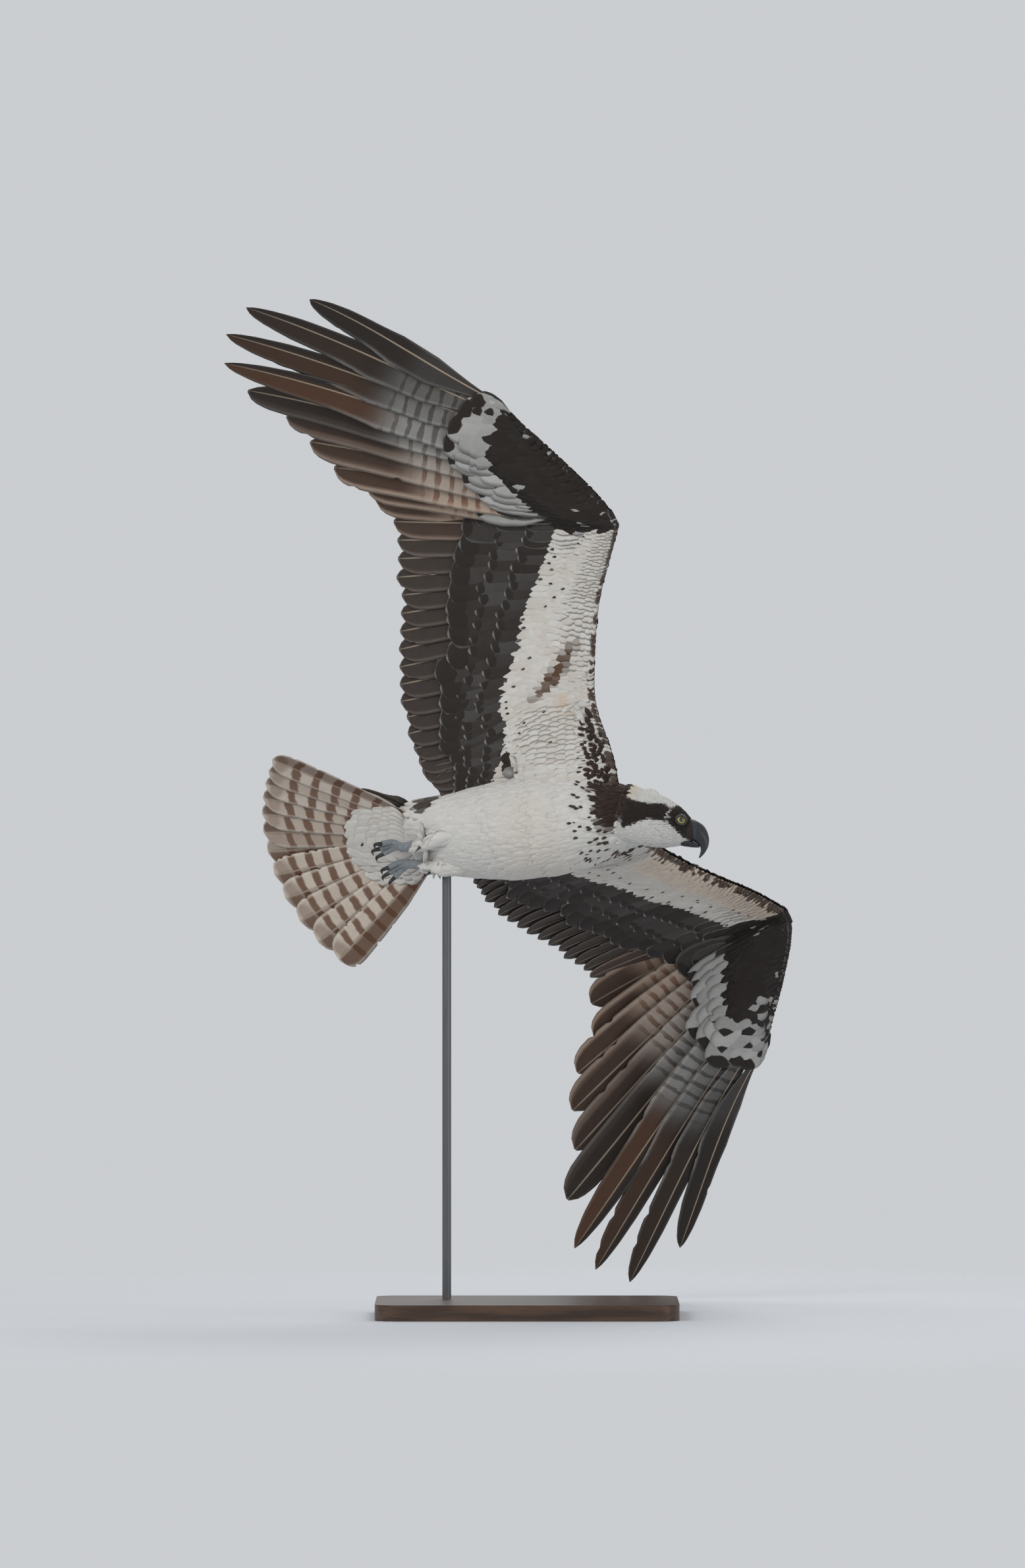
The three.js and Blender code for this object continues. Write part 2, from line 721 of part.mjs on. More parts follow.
function rodSolid() {
  const foot = vec([rod.along, 0, 0]).applyMatrix4(birdMatrix);
  const length = foot.z - base.height - touchGap;
  const shaft = new THREE.CylinderGeometry(rod.radius, rod.radius, length, rod.sides);
  shaft.rotateX(Math.PI / 2);
  shaft.translate(foot.x, foot.y, base.height + touchGap + length / 2);
  return largest(solidOf(shaft).subtract(bodyFlesh(touchGap).transform(birdMatrix.elements)));
}

// The group

const colours = {
  down: 0xe9e6de,
  wing: 0x4a4038,
  band: 0x8a7158,
  bill: 0x1c1d20,
  eye: 0xd9a72a,
  toe: 0x8b99a0,
  stand: 0x2b2c2e,
};

const group = new THREE.Group();
const bird = new THREE.Group();
bird.applyMatrix4(birdMatrix);
group.add(bird);

function place(parent, name, solid, colour, roughness = 0.8, metalness = 0) {
  const material = new THREE.MeshStandardMaterial({ color: colour, roughness, metalness });
  const mesh = new THREE.Mesh(geometryOf(solid), material);
  mesh.name = name;
  parent.add(mesh);
}

place(bird, "torso", torsoSolid(), colours.down);
place(bird, "neck", neckSolid(), colours.down);
place(bird, "head", inHeadFrame(headSolid()), colours.down);
place(bird, "bill_upper", inHeadFrame(upperBillSolid()), colours.bill, 0.35);
place(bird, "bill_lower", inHeadFrame(lowerBillSolid()), colours.bill, 0.35);
for (const [name, side] of [["right", -1], ["left", 1]]) {
  const wing = wingFrame(name);
  place(bird, "eye_" + name, inHeadFrame(eyeballSolid(side, 0)), colours.eye, 0.1);
  place(bird, "wing_arm_" + name, armSolid(wing), colours.wing);
  place(bird, "wing_hand_" + name, handSolid(wing), colours.wing);
  place(bird, "leg_" + name, legSolid(side), colours.down);
  place(bird, "foot_" + name, footSolid(side), colours.toe, 0.6);
}
place(bird, "tail", tailSolid(), colours.band);
place(group, "stand_base", baseSolid(), colours.stand, 0.5);
place(group, "stand_rod", rodSolid(), colours.stand, 0.4, 0.6);

export default group;
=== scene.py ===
import math

import bpy
import numpy as np
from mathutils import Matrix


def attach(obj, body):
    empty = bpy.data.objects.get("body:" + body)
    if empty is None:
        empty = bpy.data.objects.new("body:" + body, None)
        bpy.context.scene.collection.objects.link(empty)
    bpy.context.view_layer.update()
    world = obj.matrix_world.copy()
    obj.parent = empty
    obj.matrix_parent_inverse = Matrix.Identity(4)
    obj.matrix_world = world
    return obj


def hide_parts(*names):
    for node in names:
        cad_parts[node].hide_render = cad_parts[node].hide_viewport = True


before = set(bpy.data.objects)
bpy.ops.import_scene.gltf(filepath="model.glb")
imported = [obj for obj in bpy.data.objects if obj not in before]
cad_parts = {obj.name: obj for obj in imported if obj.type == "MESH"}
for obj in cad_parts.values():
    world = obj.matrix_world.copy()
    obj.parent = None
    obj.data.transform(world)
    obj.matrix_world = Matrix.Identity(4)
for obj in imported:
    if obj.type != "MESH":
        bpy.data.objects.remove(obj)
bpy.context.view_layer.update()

# %% [markdown]
# # An osprey in banking flight, life size, on a display stand
# The real object is a museum's mounted bird: a body under a coat of feathers, wings held open by wires, a
# horn bill, glass eyes and cast feet, carried by a steel rod in a wooden base. It can be made with
# sculpted solids, with simulated hair or with feathers laid as thin meshes. This file lays feathers,
# because a bird's outline and its markings both come from the rows that its feathers grow in, and because
# thin meshes export as they are. The file goes from the camera and the materials to the skin, then to the
# wings, the tail, the small feathers, the bill, the eyes and the feet, and at last to the stand and the
# light.

# %% [markdown]
# ## Frames
# The bird has its own frame: x points forward, y to its left and z to its back, in millimetres. Sizes
# taken from a bird are easy to give there, and one turn banks it into the pose. The head has a frame
# inside it in the same way, so that the face can be marked as if the bird looked straight ahead.


# %% Frames
def rotation(yaw, pitch, roll):
    """Roll about x, then pitch about y, then yaw about z, in degrees."""
    z, y, x = np.radians([yaw, pitch, roll])
    about_z = [[math.cos(z), -math.sin(z), 0], [math.sin(z), math.cos(z), 0], [0, 0, 1]]
    about_y = [[math.cos(y), 0, math.sin(y)], [0, 1, 0], [-math.sin(y), 0, math.cos(y)]]
    about_x = [[1, 0, 0], [0, math.cos(x), -math.sin(x)], [0, math.sin(x), math.cos(x)]]
    return np.array(about_z) @ np.array(about_y) @ np.array(about_x)


BANK = rotation(-24.8, -5.2, -53.9)
BIRD_PLACE = np.array([0, 0, 550])
HEAD_TURN = rotation(25, -2, 40)
HEAD_PLACE = np.array([169, 2, -8])


def to_world(points):
    """Bird millimetres to the scene's metres."""
    return (np.asarray(points, float) @ BANK.T + BIRD_PLACE) / 1000


def to_bird(points):
    """The scene's metres to bird millimetres."""
    return (np.asarray(points, float) * 1000 - BIRD_PLACE) @ BANK


def head_to_bird(points):
    return np.asarray(points, float) @ HEAD_TURN.T + HEAD_PLACE


def bird_to_head(points):
    return (np.asarray(points, float) - HEAD_PLACE) @ HEAD_TURN


print("the bird looks along", BANK[:, 0].round(2))


# %% Directions, steps and curves
def unit(v):
    v = np.asarray(v, float)
    return v / np.maximum(np.linalg.norm(v, axis=-1, keepdims=True), 1e-9)


def square(v, up):
    """The part of v that is square to up, at length 1."""
    return unit(v - (v * up).sum(-1, keepdims=True) * up)


def lerp(a, b, t):
    return a + (b - a) * t


def smooth(low, high, value):
    """0 below low, 1 above high, and a soft step between them."""
    t = np.clip((np.asarray(value, float) - low) / (high - low), 0, 1)
    return t * t * (3 - 2 * t)


def spline(points, t):
    """Places on a centripetal Catmull-Rom curve, with t from 0 to 1."""
    points = np.asarray(points, float)
    t = np.atleast_1d(np.asarray(t, float))
    ends = np.vstack([2 * points[0] - points[1], points, 2 * points[-1] - points[-2]])
    place = np.clip(t, 0, 1) * (len(points) - 1)
    slot = np.minimum(place.astype(int), len(points) - 2)
    x = (place - slot)[:, None]
    a, b, c, d = (ends[slot + k] for k in range(4))
    pairs = ((a, b), (b, c), (c, d))
    ab, bc, cd = (np.sqrt(np.linalg.norm(q - p, axis=1, keepdims=True)) for p, q in pairs)
    leave = ((b - a) / ab - (c - a) / (ab + bc) + (c - b) / bc) * bc
    arrive = ((c - b) / bc - (d - b) / (bc + cd) + (d - c) / cd) * bc
    cubic = 2 * (b - c) + leave + arrive
    return b + leave * x + (3 * (c - b) - 2 * leave - arrive) * x**2 + cubic * x**3


def sampled(values, t):
    return np.interp(t, np.linspace(0, 1, len(values)), values)


print("half way on a bent line:", spline([[0, 0, 0], [1, 0, 0], [1, 1, 0], [0, 1, 0]], 0.5).round(3))

# %% [markdown]
# ## Camera
# The photo was taken with a long lens, so its perspective is nearly parallel. The camera stands far off,
# level, and the bank and heading of the bird do the rest.

# %% Camera
PIXEL = 0.00074
PHOTO_HEIGHT = 2380 * PIXEL
DISTANCE = 14.5
SENSOR = 36
camera_data = bpy.data.cameras.new("camera")
camera_data.sensor_width = SENSOR
camera_data.lens = SENSOR * DISTANCE / PHOTO_HEIGHT
camera = bpy.data.objects.new("camera", camera_data)
camera.location = (-0.0163, -DISTANCE, 0.598)
camera.rotation_euler = (math.pi / 2, 0, 0)
bpy.context.scene.collection.objects.link(camera)
bpy.context.scene.camera = camera
print("camera:", DISTANCE, "metres off, with a lens of", round(camera_data.lens), "mm")

# %% [markdown]
# ## Materials
# A plume's colour changes along it, across it and from one feather to the next. It could be painted on a
# picture for each feather, or made from numbers. Here every feather carries numbers that say where on it
# a point is and how its kind is coloured, and one paint, made of nodes, turns them into colour and
# relief. The skin under the coat has the same numbers, so that nothing pale shines through a dark patch.


# %% Node helpers
def node(tree, kind, inputs=(), **settings):
    """A new node with its settings and inputs, each a value or another node's socket."""
    made = tree.nodes.new(kind)
    for key, value in settings.items():
        setattr(made, key, value)
    for socket, value in dict(inputs).items():
        if isinstance(value, bpy.types.NodeSocket):
            tree.links.new(value, made.inputs[socket])
        else:
            made.inputs[socket].default_value = value
    return made


def calc(tree, operation, *values):
    return node(tree, "ShaderNodeMath", enumerate(values), operation=operation).outputs[0]


def plus(tree, a, b):
    return calc(tree, "ADD", a, b)


def minus(tree, a, b):
    return calc(tree, "SUBTRACT", a, b)


def times(tree, a, b):
    return calc(tree, "MULTIPLY", a, b)


def step(tree, value, low, high, start=0.0, end=1.0):
    """A soft step in a node tree."""
    inputs = {0: value, 1: low, 2: high, 3: start, 4: end}
    return node(tree, "ShaderNodeMapRange", inputs, interpolation_type="SMOOTHSTEP").outputs[0]


def blend_colour(tree, share, a, b, how="MIX"):
    inputs = {0: share, 6: a, 7: b}
    return node(tree, "ShaderNodeMix", inputs, data_type="RGBA", blend_type=how).outputs[2]


def noise(tree, place, scale, detail=2.0, rough=0.5, extra=0.0):
    inputs = {"Vector": place, "Scale": scale, "Detail": detail, "Roughness": rough, "W": extra}
    return node(tree, "ShaderNodeTexNoise", inputs, noise_dimensions="4D").outputs[0]


print("node helpers are ready in Blender", bpy.app.version_string)


# %% Groups and materials
def new_group(name, inputs, outputs):
    """A node group with its sockets, its input node and its output node."""
    tree = bpy.data.node_groups.new(name, "ShaderNodeTree")
    kinds = {"float": "NodeSocketFloat", "colour": "NodeSocketColor", "vector": "NodeSocketVector"}
    for label, kind in inputs:
        tree.interface.new_socket(label, in_out="INPUT", socket_type=kinds[kind])
    for label, kind in outputs:
        tree.interface.new_socket(label, in_out="OUTPUT", socket_type=kinds[kind])
    return tree, tree.nodes.new("NodeGroupInput").outputs, tree.nodes.new("NodeGroupOutput").inputs


def new_material(name):
    material = bpy.data.materials.new(name)
    material.use_nodes = True
    tree = material.node_tree
    return material, tree, tree.nodes["Principled BSDF"]


def use_group(tree, group, inputs=()):
    """Places a group in a tree. The group is set first, because its sockets come from it."""
    made = node(tree, "ShaderNodeGroup", node_tree=group)
    for label, socket in dict(inputs).items():
        tree.links.new(socket, made.inputs[label])
    return made.outputs


def read_numbers(tree, name):
    """The three numbers stored under a name on the points of a mesh."""
    stored = node(tree, "ShaderNodeAttribute", attribute_name=name).outputs["Vector"]
    return node(tree, "ShaderNodeSeparateXYZ", {0: stored}).outputs


def bump(tree, height, distance, strength=1.0):
    inputs = {"Height": height, "Distance": distance, "Strength": strength}
    return node(tree, "ShaderNodeBump", inputs).outputs[0]


print("materials before the first:", len(bpy.data.materials))


# %% Plumage colours
WHITE = (0.70, 0.69, 0.655, 1)
DARK = (0.020, 0.0145, 0.0115, 1)
RUST = (0.30, 0.115, 0.042, 1)
BUFF = (0.60, 0.40, 0.22, 1)
SHAFT = (0.42, 0.35, 0.26, 1)

plumage, given, made = new_group(
    "plumage",
    [("Dark", "float"), ("Warm", "float")],
    [("Color", "colour")],
)
pale = blend_colour(plumage, given["Warm"], WHITE, BUFF)
deep = blend_colour(plumage, given["Warm"], DARK, RUST)
left = minus(plumage, 1.0, given["Dark"])
share = minus(plumage, 1.0, calc(plumage, "POWER", left, 2.0))
plumage.links.new(blend_colour(plumage, share, pale, deep), made["Color"])
print("plumage colours:", len(plumage.nodes), "nodes")

# %% Feather paint
BARB_SLANT = 14.0
BARB_GAP = 0.9
PAINT_OUTPUTS = [("Color", "colour"), ("Height", "float"), ("Roughness", "float")]
paint, given, made = new_group("feather paint", [], PAINT_OUTPUTS)
across, along, length = read_numbers(paint, "vane")
rim, gap, number = read_numbers(paint, "kind")
mark = node(paint, "ShaderNodeAttribute", attribute_name="mark")
dark, warm, bars = node(paint, "ShaderNodeSeparateColor", {0: mark.outputs["Color"]}).outputs
spot = mark.outputs["Alpha"]
side = calc(paint, "ABSOLUTE", across)
from_root = times(paint, along, length)
from_tip = minus(paint, length, from_root)
barb = minus(paint, from_root, times(paint, side, BARB_SLANT))

# %% Feather paint: grain and bars
grain_place = node(paint, "ShaderNodeCombineXYZ", {0: times(paint, across, 1.4), 1: barb}).outputs[0]
grain = noise(paint, grain_place, 1.1, 3.0, 0.6, number)
cloud_place = node(paint, "ShaderNodeCombineXYZ", {0: across, 1: times(paint, from_root, 0.06)}).outputs[0]
cloud = noise(paint, cloud_place, 1.6, 2.0, 0.5, number)
swing = times(paint, minus(paint, cloud, 0.5), 9.0)
bowed = plus(paint, plus(paint, from_tip, swing), times(paint, side, -3.0))
turn = times(paint, calc(paint, "DIVIDE", bowed, calc(paint, "MAXIMUM", gap, 1.0)), 2 * math.pi)
barred = times(paint, step(paint, calc(paint, "SINE", turn), -0.2, 0.7), bars)

# %% Feather paint: spot at the tip and pale rim
rounded = plus(paint, from_tip, times(paint, times(paint, side, side), 14.0))
past_spot = minus(paint, rounded, plus(paint, spot, swing))
spotted = times(paint, step(paint, past_spot, -1.5, 1.5, 1.0, 0.0), step(paint, spot, 0.5, 1.0))
edge = calc(paint, "MAXIMUM", step(paint, side, 0.74, 0.93), step(paint, from_tip, 1.2, 3.4, 1.0, 0.0))
edged = times(paint, edge, rim)
full = calc(paint, "MAXIMUM", calc(paint, "MAXIMUM", dark, barred), times(paint, spotted, 0.93))
shade = times(paint, full, minus(paint, 1.0, edged))

# %% Feather paint: colour, relief and roughness
quiet = minus(paint, 1.0, times(paint, shade, 0.75))
uneven = plus(paint, times(paint, grain, 0.16), times(paint, cloud, 0.14))
uneven = times(paint, minus(paint, uneven, 0.15), quiet)
mottled = node(paint, "ShaderNodeClamp", {0: plus(paint, shade, uneven)}).outputs[0]
coloured = use_group(paint, plumage, {"Dark": mottled, "Warm": warm})["Color"]
is_long = step(paint, length, 105.0, 130.0, 0.0, 0.55)
shaft = times(paint, step(paint, side, 0.03, 0.07, 1.0, 0.0), is_long)
paint.links.new(blend_colour(paint, shaft, coloured, SHAFT), made["Color"])
barbs = calc(paint, "SINE", times(paint, barb, 2 * math.pi / BARB_GAP))
paint.links.new(plus(paint, times(paint, barbs, 0.3), times(paint, grain, 1.6)), made["Height"])
paint.links.new(plus(paint, times(paint, grain, 0.25), 0.5), made["Roughness"])

feather_material, tree, shader = new_material("feathers")
painted = use_group(tree, paint)
tree.links.new(painted["Color"], shader.inputs["Base Color"])
tree.links.new(painted["Roughness"], shader.inputs["Roughness"])
tree.links.new(bump(tree, painted["Height"], 0.0002, 0.6), shader.inputs["Normal"])
shader.inputs["Specular IOR Level"].default_value = 0.2
shader.inputs["Sheen Weight"].default_value = 0.05
print("feather paint:", len(paint.nodes), "nodes")

# %% Skin under the coat
skin_material, tree, shader = new_material("plumage_skin")
mark = node(tree, "ShaderNodeAttribute", attribute_name="mark")
dark, warm, _ = node(tree, "ShaderNodeSeparateColor", {0: mark.outputs["Color"]}).outputs
where = node(tree, "ShaderNodeTexCoord").outputs["Object"]
down = noise(tree, where, 900.0, 3.0, 0.6)
shade = plus(tree, dark, times(tree, minus(tree, down, 0.5), 0.2))
shade = node(tree, "ShaderNodeClamp", {0: shade}).outputs[0]
coloured = use_group(tree, plumage, {"Dark": shade, "Warm": warm})["Color"]
tree.links.new(coloured, shader.inputs["Base Color"])
tree.links.new(bump(tree, down, 0.0006), shader.inputs["Normal"])
shader.inputs["Roughness"].default_value = 0.9
print("skin material:", len(tree.nodes), "nodes")

# %% [markdown]
# ## Meshes
# A bird has thousands of feathers. They could be copies of one object, but copies don't reach the exported
# model. Here all pieces are built as arrays of points and faces, which is quick, and each piece is one
# mesh with its numbers stored on its points.


# %% A piece from arrays
FORMS = {3: ("FLOAT_VECTOR", "vector"), 4: ("FLOAT_COLOR", "color")}


def new_piece(name, points, faces, material, replaced=(), numbers=(), bake=None):
    """One mesh from points in metres and faces of one size, riding on the model's only body."""
    mesh = bpy.data.meshes.new(name)
    faces = np.asarray(faces, np.int32)
    mesh.vertices.add(len(points))
    mesh.vertices.foreach_set("co", np.asarray(points, np.float32).ravel())
    mesh.loops.add(faces.size)
    mesh.loops.foreach_set("vertex_index", faces.ravel())
    mesh.polygons.add(len(faces))
    mesh.polygons.foreach_set("loop_start", np.arange(len(faces), dtype=np.int32) * faces.shape[1])
    mesh.update(calc_edges=True)
    mesh.shade_smooth()
    for label, values in dict(numbers).items():
        values = np.asarray(values, np.float32)
        form, field = FORMS[values.shape[1]]
        mesh.attributes.new(label, form, "POINT").data.foreach_set(field, values.ravel())
    if bake is not None:
        chart = mesh.uv_layers.new(name="OFBake")
        chart.data.foreach_set("uv", np.asarray(bake, np.float32)[faces.ravel()].ravel())
    mesh.materials.append(material)
    piece = bpy.data.objects.new(name, mesh)
    bpy.context.scene.collection.objects.link(piece)
    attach(piece, "root")
    if replaced:
        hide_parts(*replaced)
    return piece


print("kinds of numbers on a point:", [form for form, field in FORMS.values()])


# %% Tubes and limbs
def ring_faces(rings, sides):
    """Quads that join rings of equal count into a tube."""
    k, i = np.meshgrid(np.arange(rings - 1), np.arange(sides), indexing="ij")
    j = (i + 1) % sides
    near, far = k * sides, (k + 1) * sides
    return np.stack([near + i, near + j, far + j, far + i], -1).reshape(-1, 4)


def closed(rings):
    """Points and faces of a tube through rings, with each end drawn together to a point."""
    sides = rings.shape[1]
    first, last = (np.tile(rings[end].mean(0), (1, sides, 1)) for end in (0, -1))
    rings = np.concatenate([first, rings, last])
    return rings.reshape(-1, 3), ring_faces(len(rings), sides)


def tube(middles, rights, ups, widths, rises, falls, sides):
    """A tube of oval rings along middles."""
    angle = 2 * np.pi * (np.arange(sides) + 0.5) / sides
    rises, falls = np.asarray(rises)[:, None], np.asarray(falls)[:, None]
    high = np.where(np.sin(angle) > 0, rises, falls) * np.sin(angle)
    wide = np.asarray(widths)[:, None] * np.cos(angle)
    rings = middles[:, None] + rights[:, None] * wide[..., None] + ups[:, None] * high[..., None]
    return closed(rings)


def joined(parts):
    """Several (points, faces) pairs as one."""
    points, faces, start = [], [], 0
    for some_points, some_faces in parts:
        points.append(some_points)
        faces.append(some_faces + start)
        start += len(some_points)
    return np.concatenate(points), np.concatenate(faces)


def limb(points, radii, sides, count=24, bulge=None):
    """A round limb along a few points."""
    t = np.linspace(0, 1, count)
    path = spline(points, t)
    way = unit(np.gradient(path, axis=0))
    right = unit(np.cross([0, 0, 1.0], way))
    up = np.cross(way, right)
    radius = sampled(radii, t)
    if bulge is not None:
        radius = radius * (1 + bulge(t))
    return tube(path, right, up, radius, radius, radius, sides)


print("quads of a tube with 3 rings of 4 points:", len(ring_faces(3, 4)))


# %% [markdown]
# ## The wings' lines
# A wing is a short fleshy arm and hand that carry long feathers. Each flight feather is one line, from
# its root in the flesh to its tip: ten primaries on the hand and twenty secondaries on the arm. The lines
# say where every other feather of the wing lies too, as the coverts follow the same fan in rows.

# %% Wing lines
ARMS = {
    "right": [[122, 22, 8], [115, 60, 38], [95, 100, 80], [98, 136, 103], [115, 200, 136],
              [135, 240, 155], [155, 277, 172]],
    "left": [[122, 22, 8], [118, 60, 44], [101, 100, 86], [105, 136, 111], [127, 200, 153],
             [150, 240, 176], [172, 277, 190]],
}
HANDS = {
    "right": [[155, 277, 172], [148, 300, 178], [110, 370, 182], [64, 462, 172]],
    "left": [[172, 277, 190], [172, 300, 190], [140, 370, 186], [86, 462, 176]],
}
ARM_CHORDS = [150, 150, 126, 108, 78, 60, 46]
HAND_CHORDS = [46, 44, 36, 9]
ARM_THICKNESS = [40, 38, 28, 23, 18, 16, 14]
HAND_THICKNESS = [14, 13, 10, 3]
PRIMARY_TIPS = [[-103, 357, 155], [-108, 394, 132], [-125, 427, 119], [-139, 471, 108], [-147, 517, 94],
                [-168, 570, 71], [-170, 623, 48], [-156, 658, 51], [-124, 685, 58], [-64, 666, 91]]
PRIMARY_WIDTHS = [44, 44, 44, 43, 42, 41, 40, 38, 37, 34]
PRIMARY_RISE = 13.0
SECONDARY_TIPS = [[-96, 323, 158], [-103, 239, 105], [-114, 159, 56], [-106, 85, 17], [-88, 50, 4]]
SECONDARY_WIDTH = 34.0
SECONDARY_RISE = 6.0
TRAILING_SHIFT = {"right": -11, "left": 12}
ARM_UP = [-0.161, -0.52, 0.835]
HAND_UP = [-0.144, 0.141, 0.979]
SIDES = {"right": -1, "left": 1}
SECONDARIES = 20
PRIMARIES = 10
LINES = SECONDARIES + PRIMARIES
VANE_STACK = 4.6
print("wing:", SECONDARIES, "secondaries and", PRIMARIES, "primaries")


# %% Arm and hand
def arm_place(name, t):
    """Leading edge, way back, way up, chord and thickness of the arm: t is 0 at the body, 1 at the wrist."""
    flip = [1, SIDES[name], 1]
    edge = spline(np.array(ARMS[name]) * flip, t)
    up = np.tile(unit(np.array(ARM_UP) * flip), (len(edge), 1))
    back = square(np.array([-1.0, 0, 0]), up)
    return edge, back, up, sampled(ARM_CHORDS, t), sampled(ARM_THICKNESS, t)


def hand_place(name, t):
    """The same for the hand, 0 at the wrist and 1 at its end."""
    side = SIDES[name]
    flip = [1, side, 1]
    points = np.array(HANDS[name]) * flip
    edge = spline(points, t)
    up_arm, up_hand = unit(np.array(ARM_UP) * flip), unit(np.array(HAND_UP) * flip)
    back_hand = unit(np.cross(unit(points[-1] - points[0]), up_hand))
    back_hand = back_hand * (-1 if back_hand[0] > 0 else 1)
    back_arm = square(np.array([-1.0, 0, 0]), up_arm)
    turn = np.minimum(1, np.asarray(t) * 2)[:, None]
    up = unit(lerp(up_arm, up_hand, turn))
    back = square(lerp(back_arm, back_hand, turn), up)
    return edge, back, up, sampled(HAND_CHORDS, t), sampled(HAND_THICKNESS, t)


print("the right wrist:", arm_place("right", 1.0)[0][0].round(1))


# %% Lines of the flight feathers
def with_surface(lines):
    """Adds the way up at each line's root and tip, square to the surface that its neighbours lie in."""
    way = lines["tip"] - lines["root"]
    ups = {}
    for end in ("root", "tip"):
        places = lines[end]
        beside = np.vstack([places[1:], places[-1:]]) - np.vstack([places[:1], places[:-1]])
        up = unit(np.cross(way, beside))
        ups[end] = up * np.sign((up * lines["up"]).sum(-1, keepdims=True))
    lines["root_up"] = ups["root"]
    lines["tip_up"] = unit(ups["tip"] + lines["up"])
    return lines


def secondary_lines(name):
    flip = [1, SIDES[name], 1]
    s = np.linspace(0, 1, SECONDARIES)
    edge, back, up, chord, thick = arm_place(name, 1 - s * 0.95)
    tip = spline(np.array(SECONDARY_TIPS) * flip, s)
    tip[:, 0] += TRAILING_SHIFT[name] * (1 - s * s)
    root = edge + back * chord[:, None] * 0.55
    lines = {"edge": edge, "root": root, "tip": tip, "up": up, "chord": chord, "thick": thick}
    lines["width"] = np.full(SECONDARIES, SECONDARY_WIDTH)
    lines["rise"] = np.full(SECONDARIES, SECONDARY_RISE)
    return with_surface(lines)


def primary_lines(name):
    flip = [1, SIDES[name], 1]
    count = np.arange(PRIMARIES)
    edge, back, up, chord, thick = hand_place(name, 0.04 + 0.96 * count / (PRIMARIES - 1))
    tip = np.array(PRIMARY_TIPS, float) * flip
    tip[:, 0] += TRAILING_SHIFT[name] * np.maximum(0, 1 - count / 3)
    root = edge + back * chord[:, None] * 0.5
    lines = {"edge": edge, "root": root, "tip": tip, "up": up, "chord": chord, "thick": thick}
    lines["width"] = np.array(PRIMARY_WIDTHS, float)
    lines["rise"] = np.full(PRIMARIES, PRIMARY_RISE)
    return with_surface(lines)


print("tips of the left wing's primaries reach", primary_lines("left")["tip"][:, 1].max().round(1), "mm")


# %% Whole wings
def whole_wing(name):
    """The lines of one wing in order, from the innermost secondary to the outermost primary."""
    inner, outer = secondary_lines(name), primary_lines(name)
    return {key: np.concatenate([inner[key][::-1], outer[key]]) for key in inner}


def at_lines(wing, w):
    """The wing's lines at places w between them, 0 at the body and LINES - 1 at the outermost primary."""
    slot = np.clip(np.asarray(w).astype(int), 0, LINES - 2)
    share = np.asarray(w) - slot
    mixed = {}
    for key, values in wing.items():
        part = share if values.ndim == 1 else share[..., None]
        mixed[key] = lerp(values[slot], values[slot + 1], part)
    return mixed


wings = {name: whole_wing(name) for name in SIDES}
ends = wings["right"]["tip"]
print("lines of the right wing end from", ends[0].round(), "to", ends[-1].round())


# %% Surface of the wing
def wing_surface(wing, w, d, face, lift):
    """A place on a wing's face: line w, d millimetres behind the leading edge, lifted off the flesh.

    Over the vanes the face stands off by their stack, thickest at the wrist, where two fans meet."""
    line = at_lines(wing, w)
    to_root = np.linalg.norm(line["root"] - line["edge"], axis=-1)
    vane = np.linalg.norm(line["tip"] - line["root"], axis=-1)
    inner = np.clip(d / to_root, 0, 1)[..., None]
    outer = np.clip((d - to_root) / vane, 0, 1)[..., None]
    up = unit(lerp(line["root_up"], line["tip_up"], outer))
    up = unit(lerp(line["up"], up, smooth(0, 0.3, outer)))
    middle = line["edge"] + (line["root"] - line["edge"]) * inner + (line["tip"] - line["root"]) * outer
    middle = middle + up * (line["rise"][..., None] * 4 * outer * (1 - outer))
    q = np.clip(d / line["chord"], 0, 1)
    thick = np.sqrt(q * (1 - q)) * line["thick"] * (0.3 + 0.7 * (1 - q) ** 0.6)
    stack = VANE_STACK + 2.6 * smooth(19, 21, w) * smooth(28, 26, w) + 4 * np.exp(-(((w - 20) / 1.7) ** 2))
    thick = np.maximum(thick, stack * np.interp(d / to_root, [0.3, 1, 2, 4], [0, 0.7, 0.9, 1]))
    return middle + up * (face * (thick + lift))[..., None], up


wrist, _ = wing_surface(wings["right"], np.array([20.0]), np.array([40.0]), -1, 0)
print("under the right wrist:", wrist.round(1))

# %% [markdown]
# ## Markings
# An osprey is white below and dark brown above, with a dark band through the eye, a dark patch at each
# wrist and barred flight feathers. The markings could be painted on an unwrapped picture. They are given
# as functions of a place on the bird instead, once for all, and both the skin and the feathers that grow
# there ask them.

# %% Markings of body and head
MASK_LOW = [[-60, -38], [-45, -34], [-34, -27], [-20, -17], [-6, -8], [9, -6], [17, -9], [25, -13],
            [32, -17], [40, -18]]
MASK_HIGH = [[-60, 24], [-45, 16], [-27, 7], [-11, 8], [5, 12.5], [10, 9.5], [14, 10], [17, 16],
             [21, 34], [44, 34]]
EYE = [22, 17.4, 0.5]


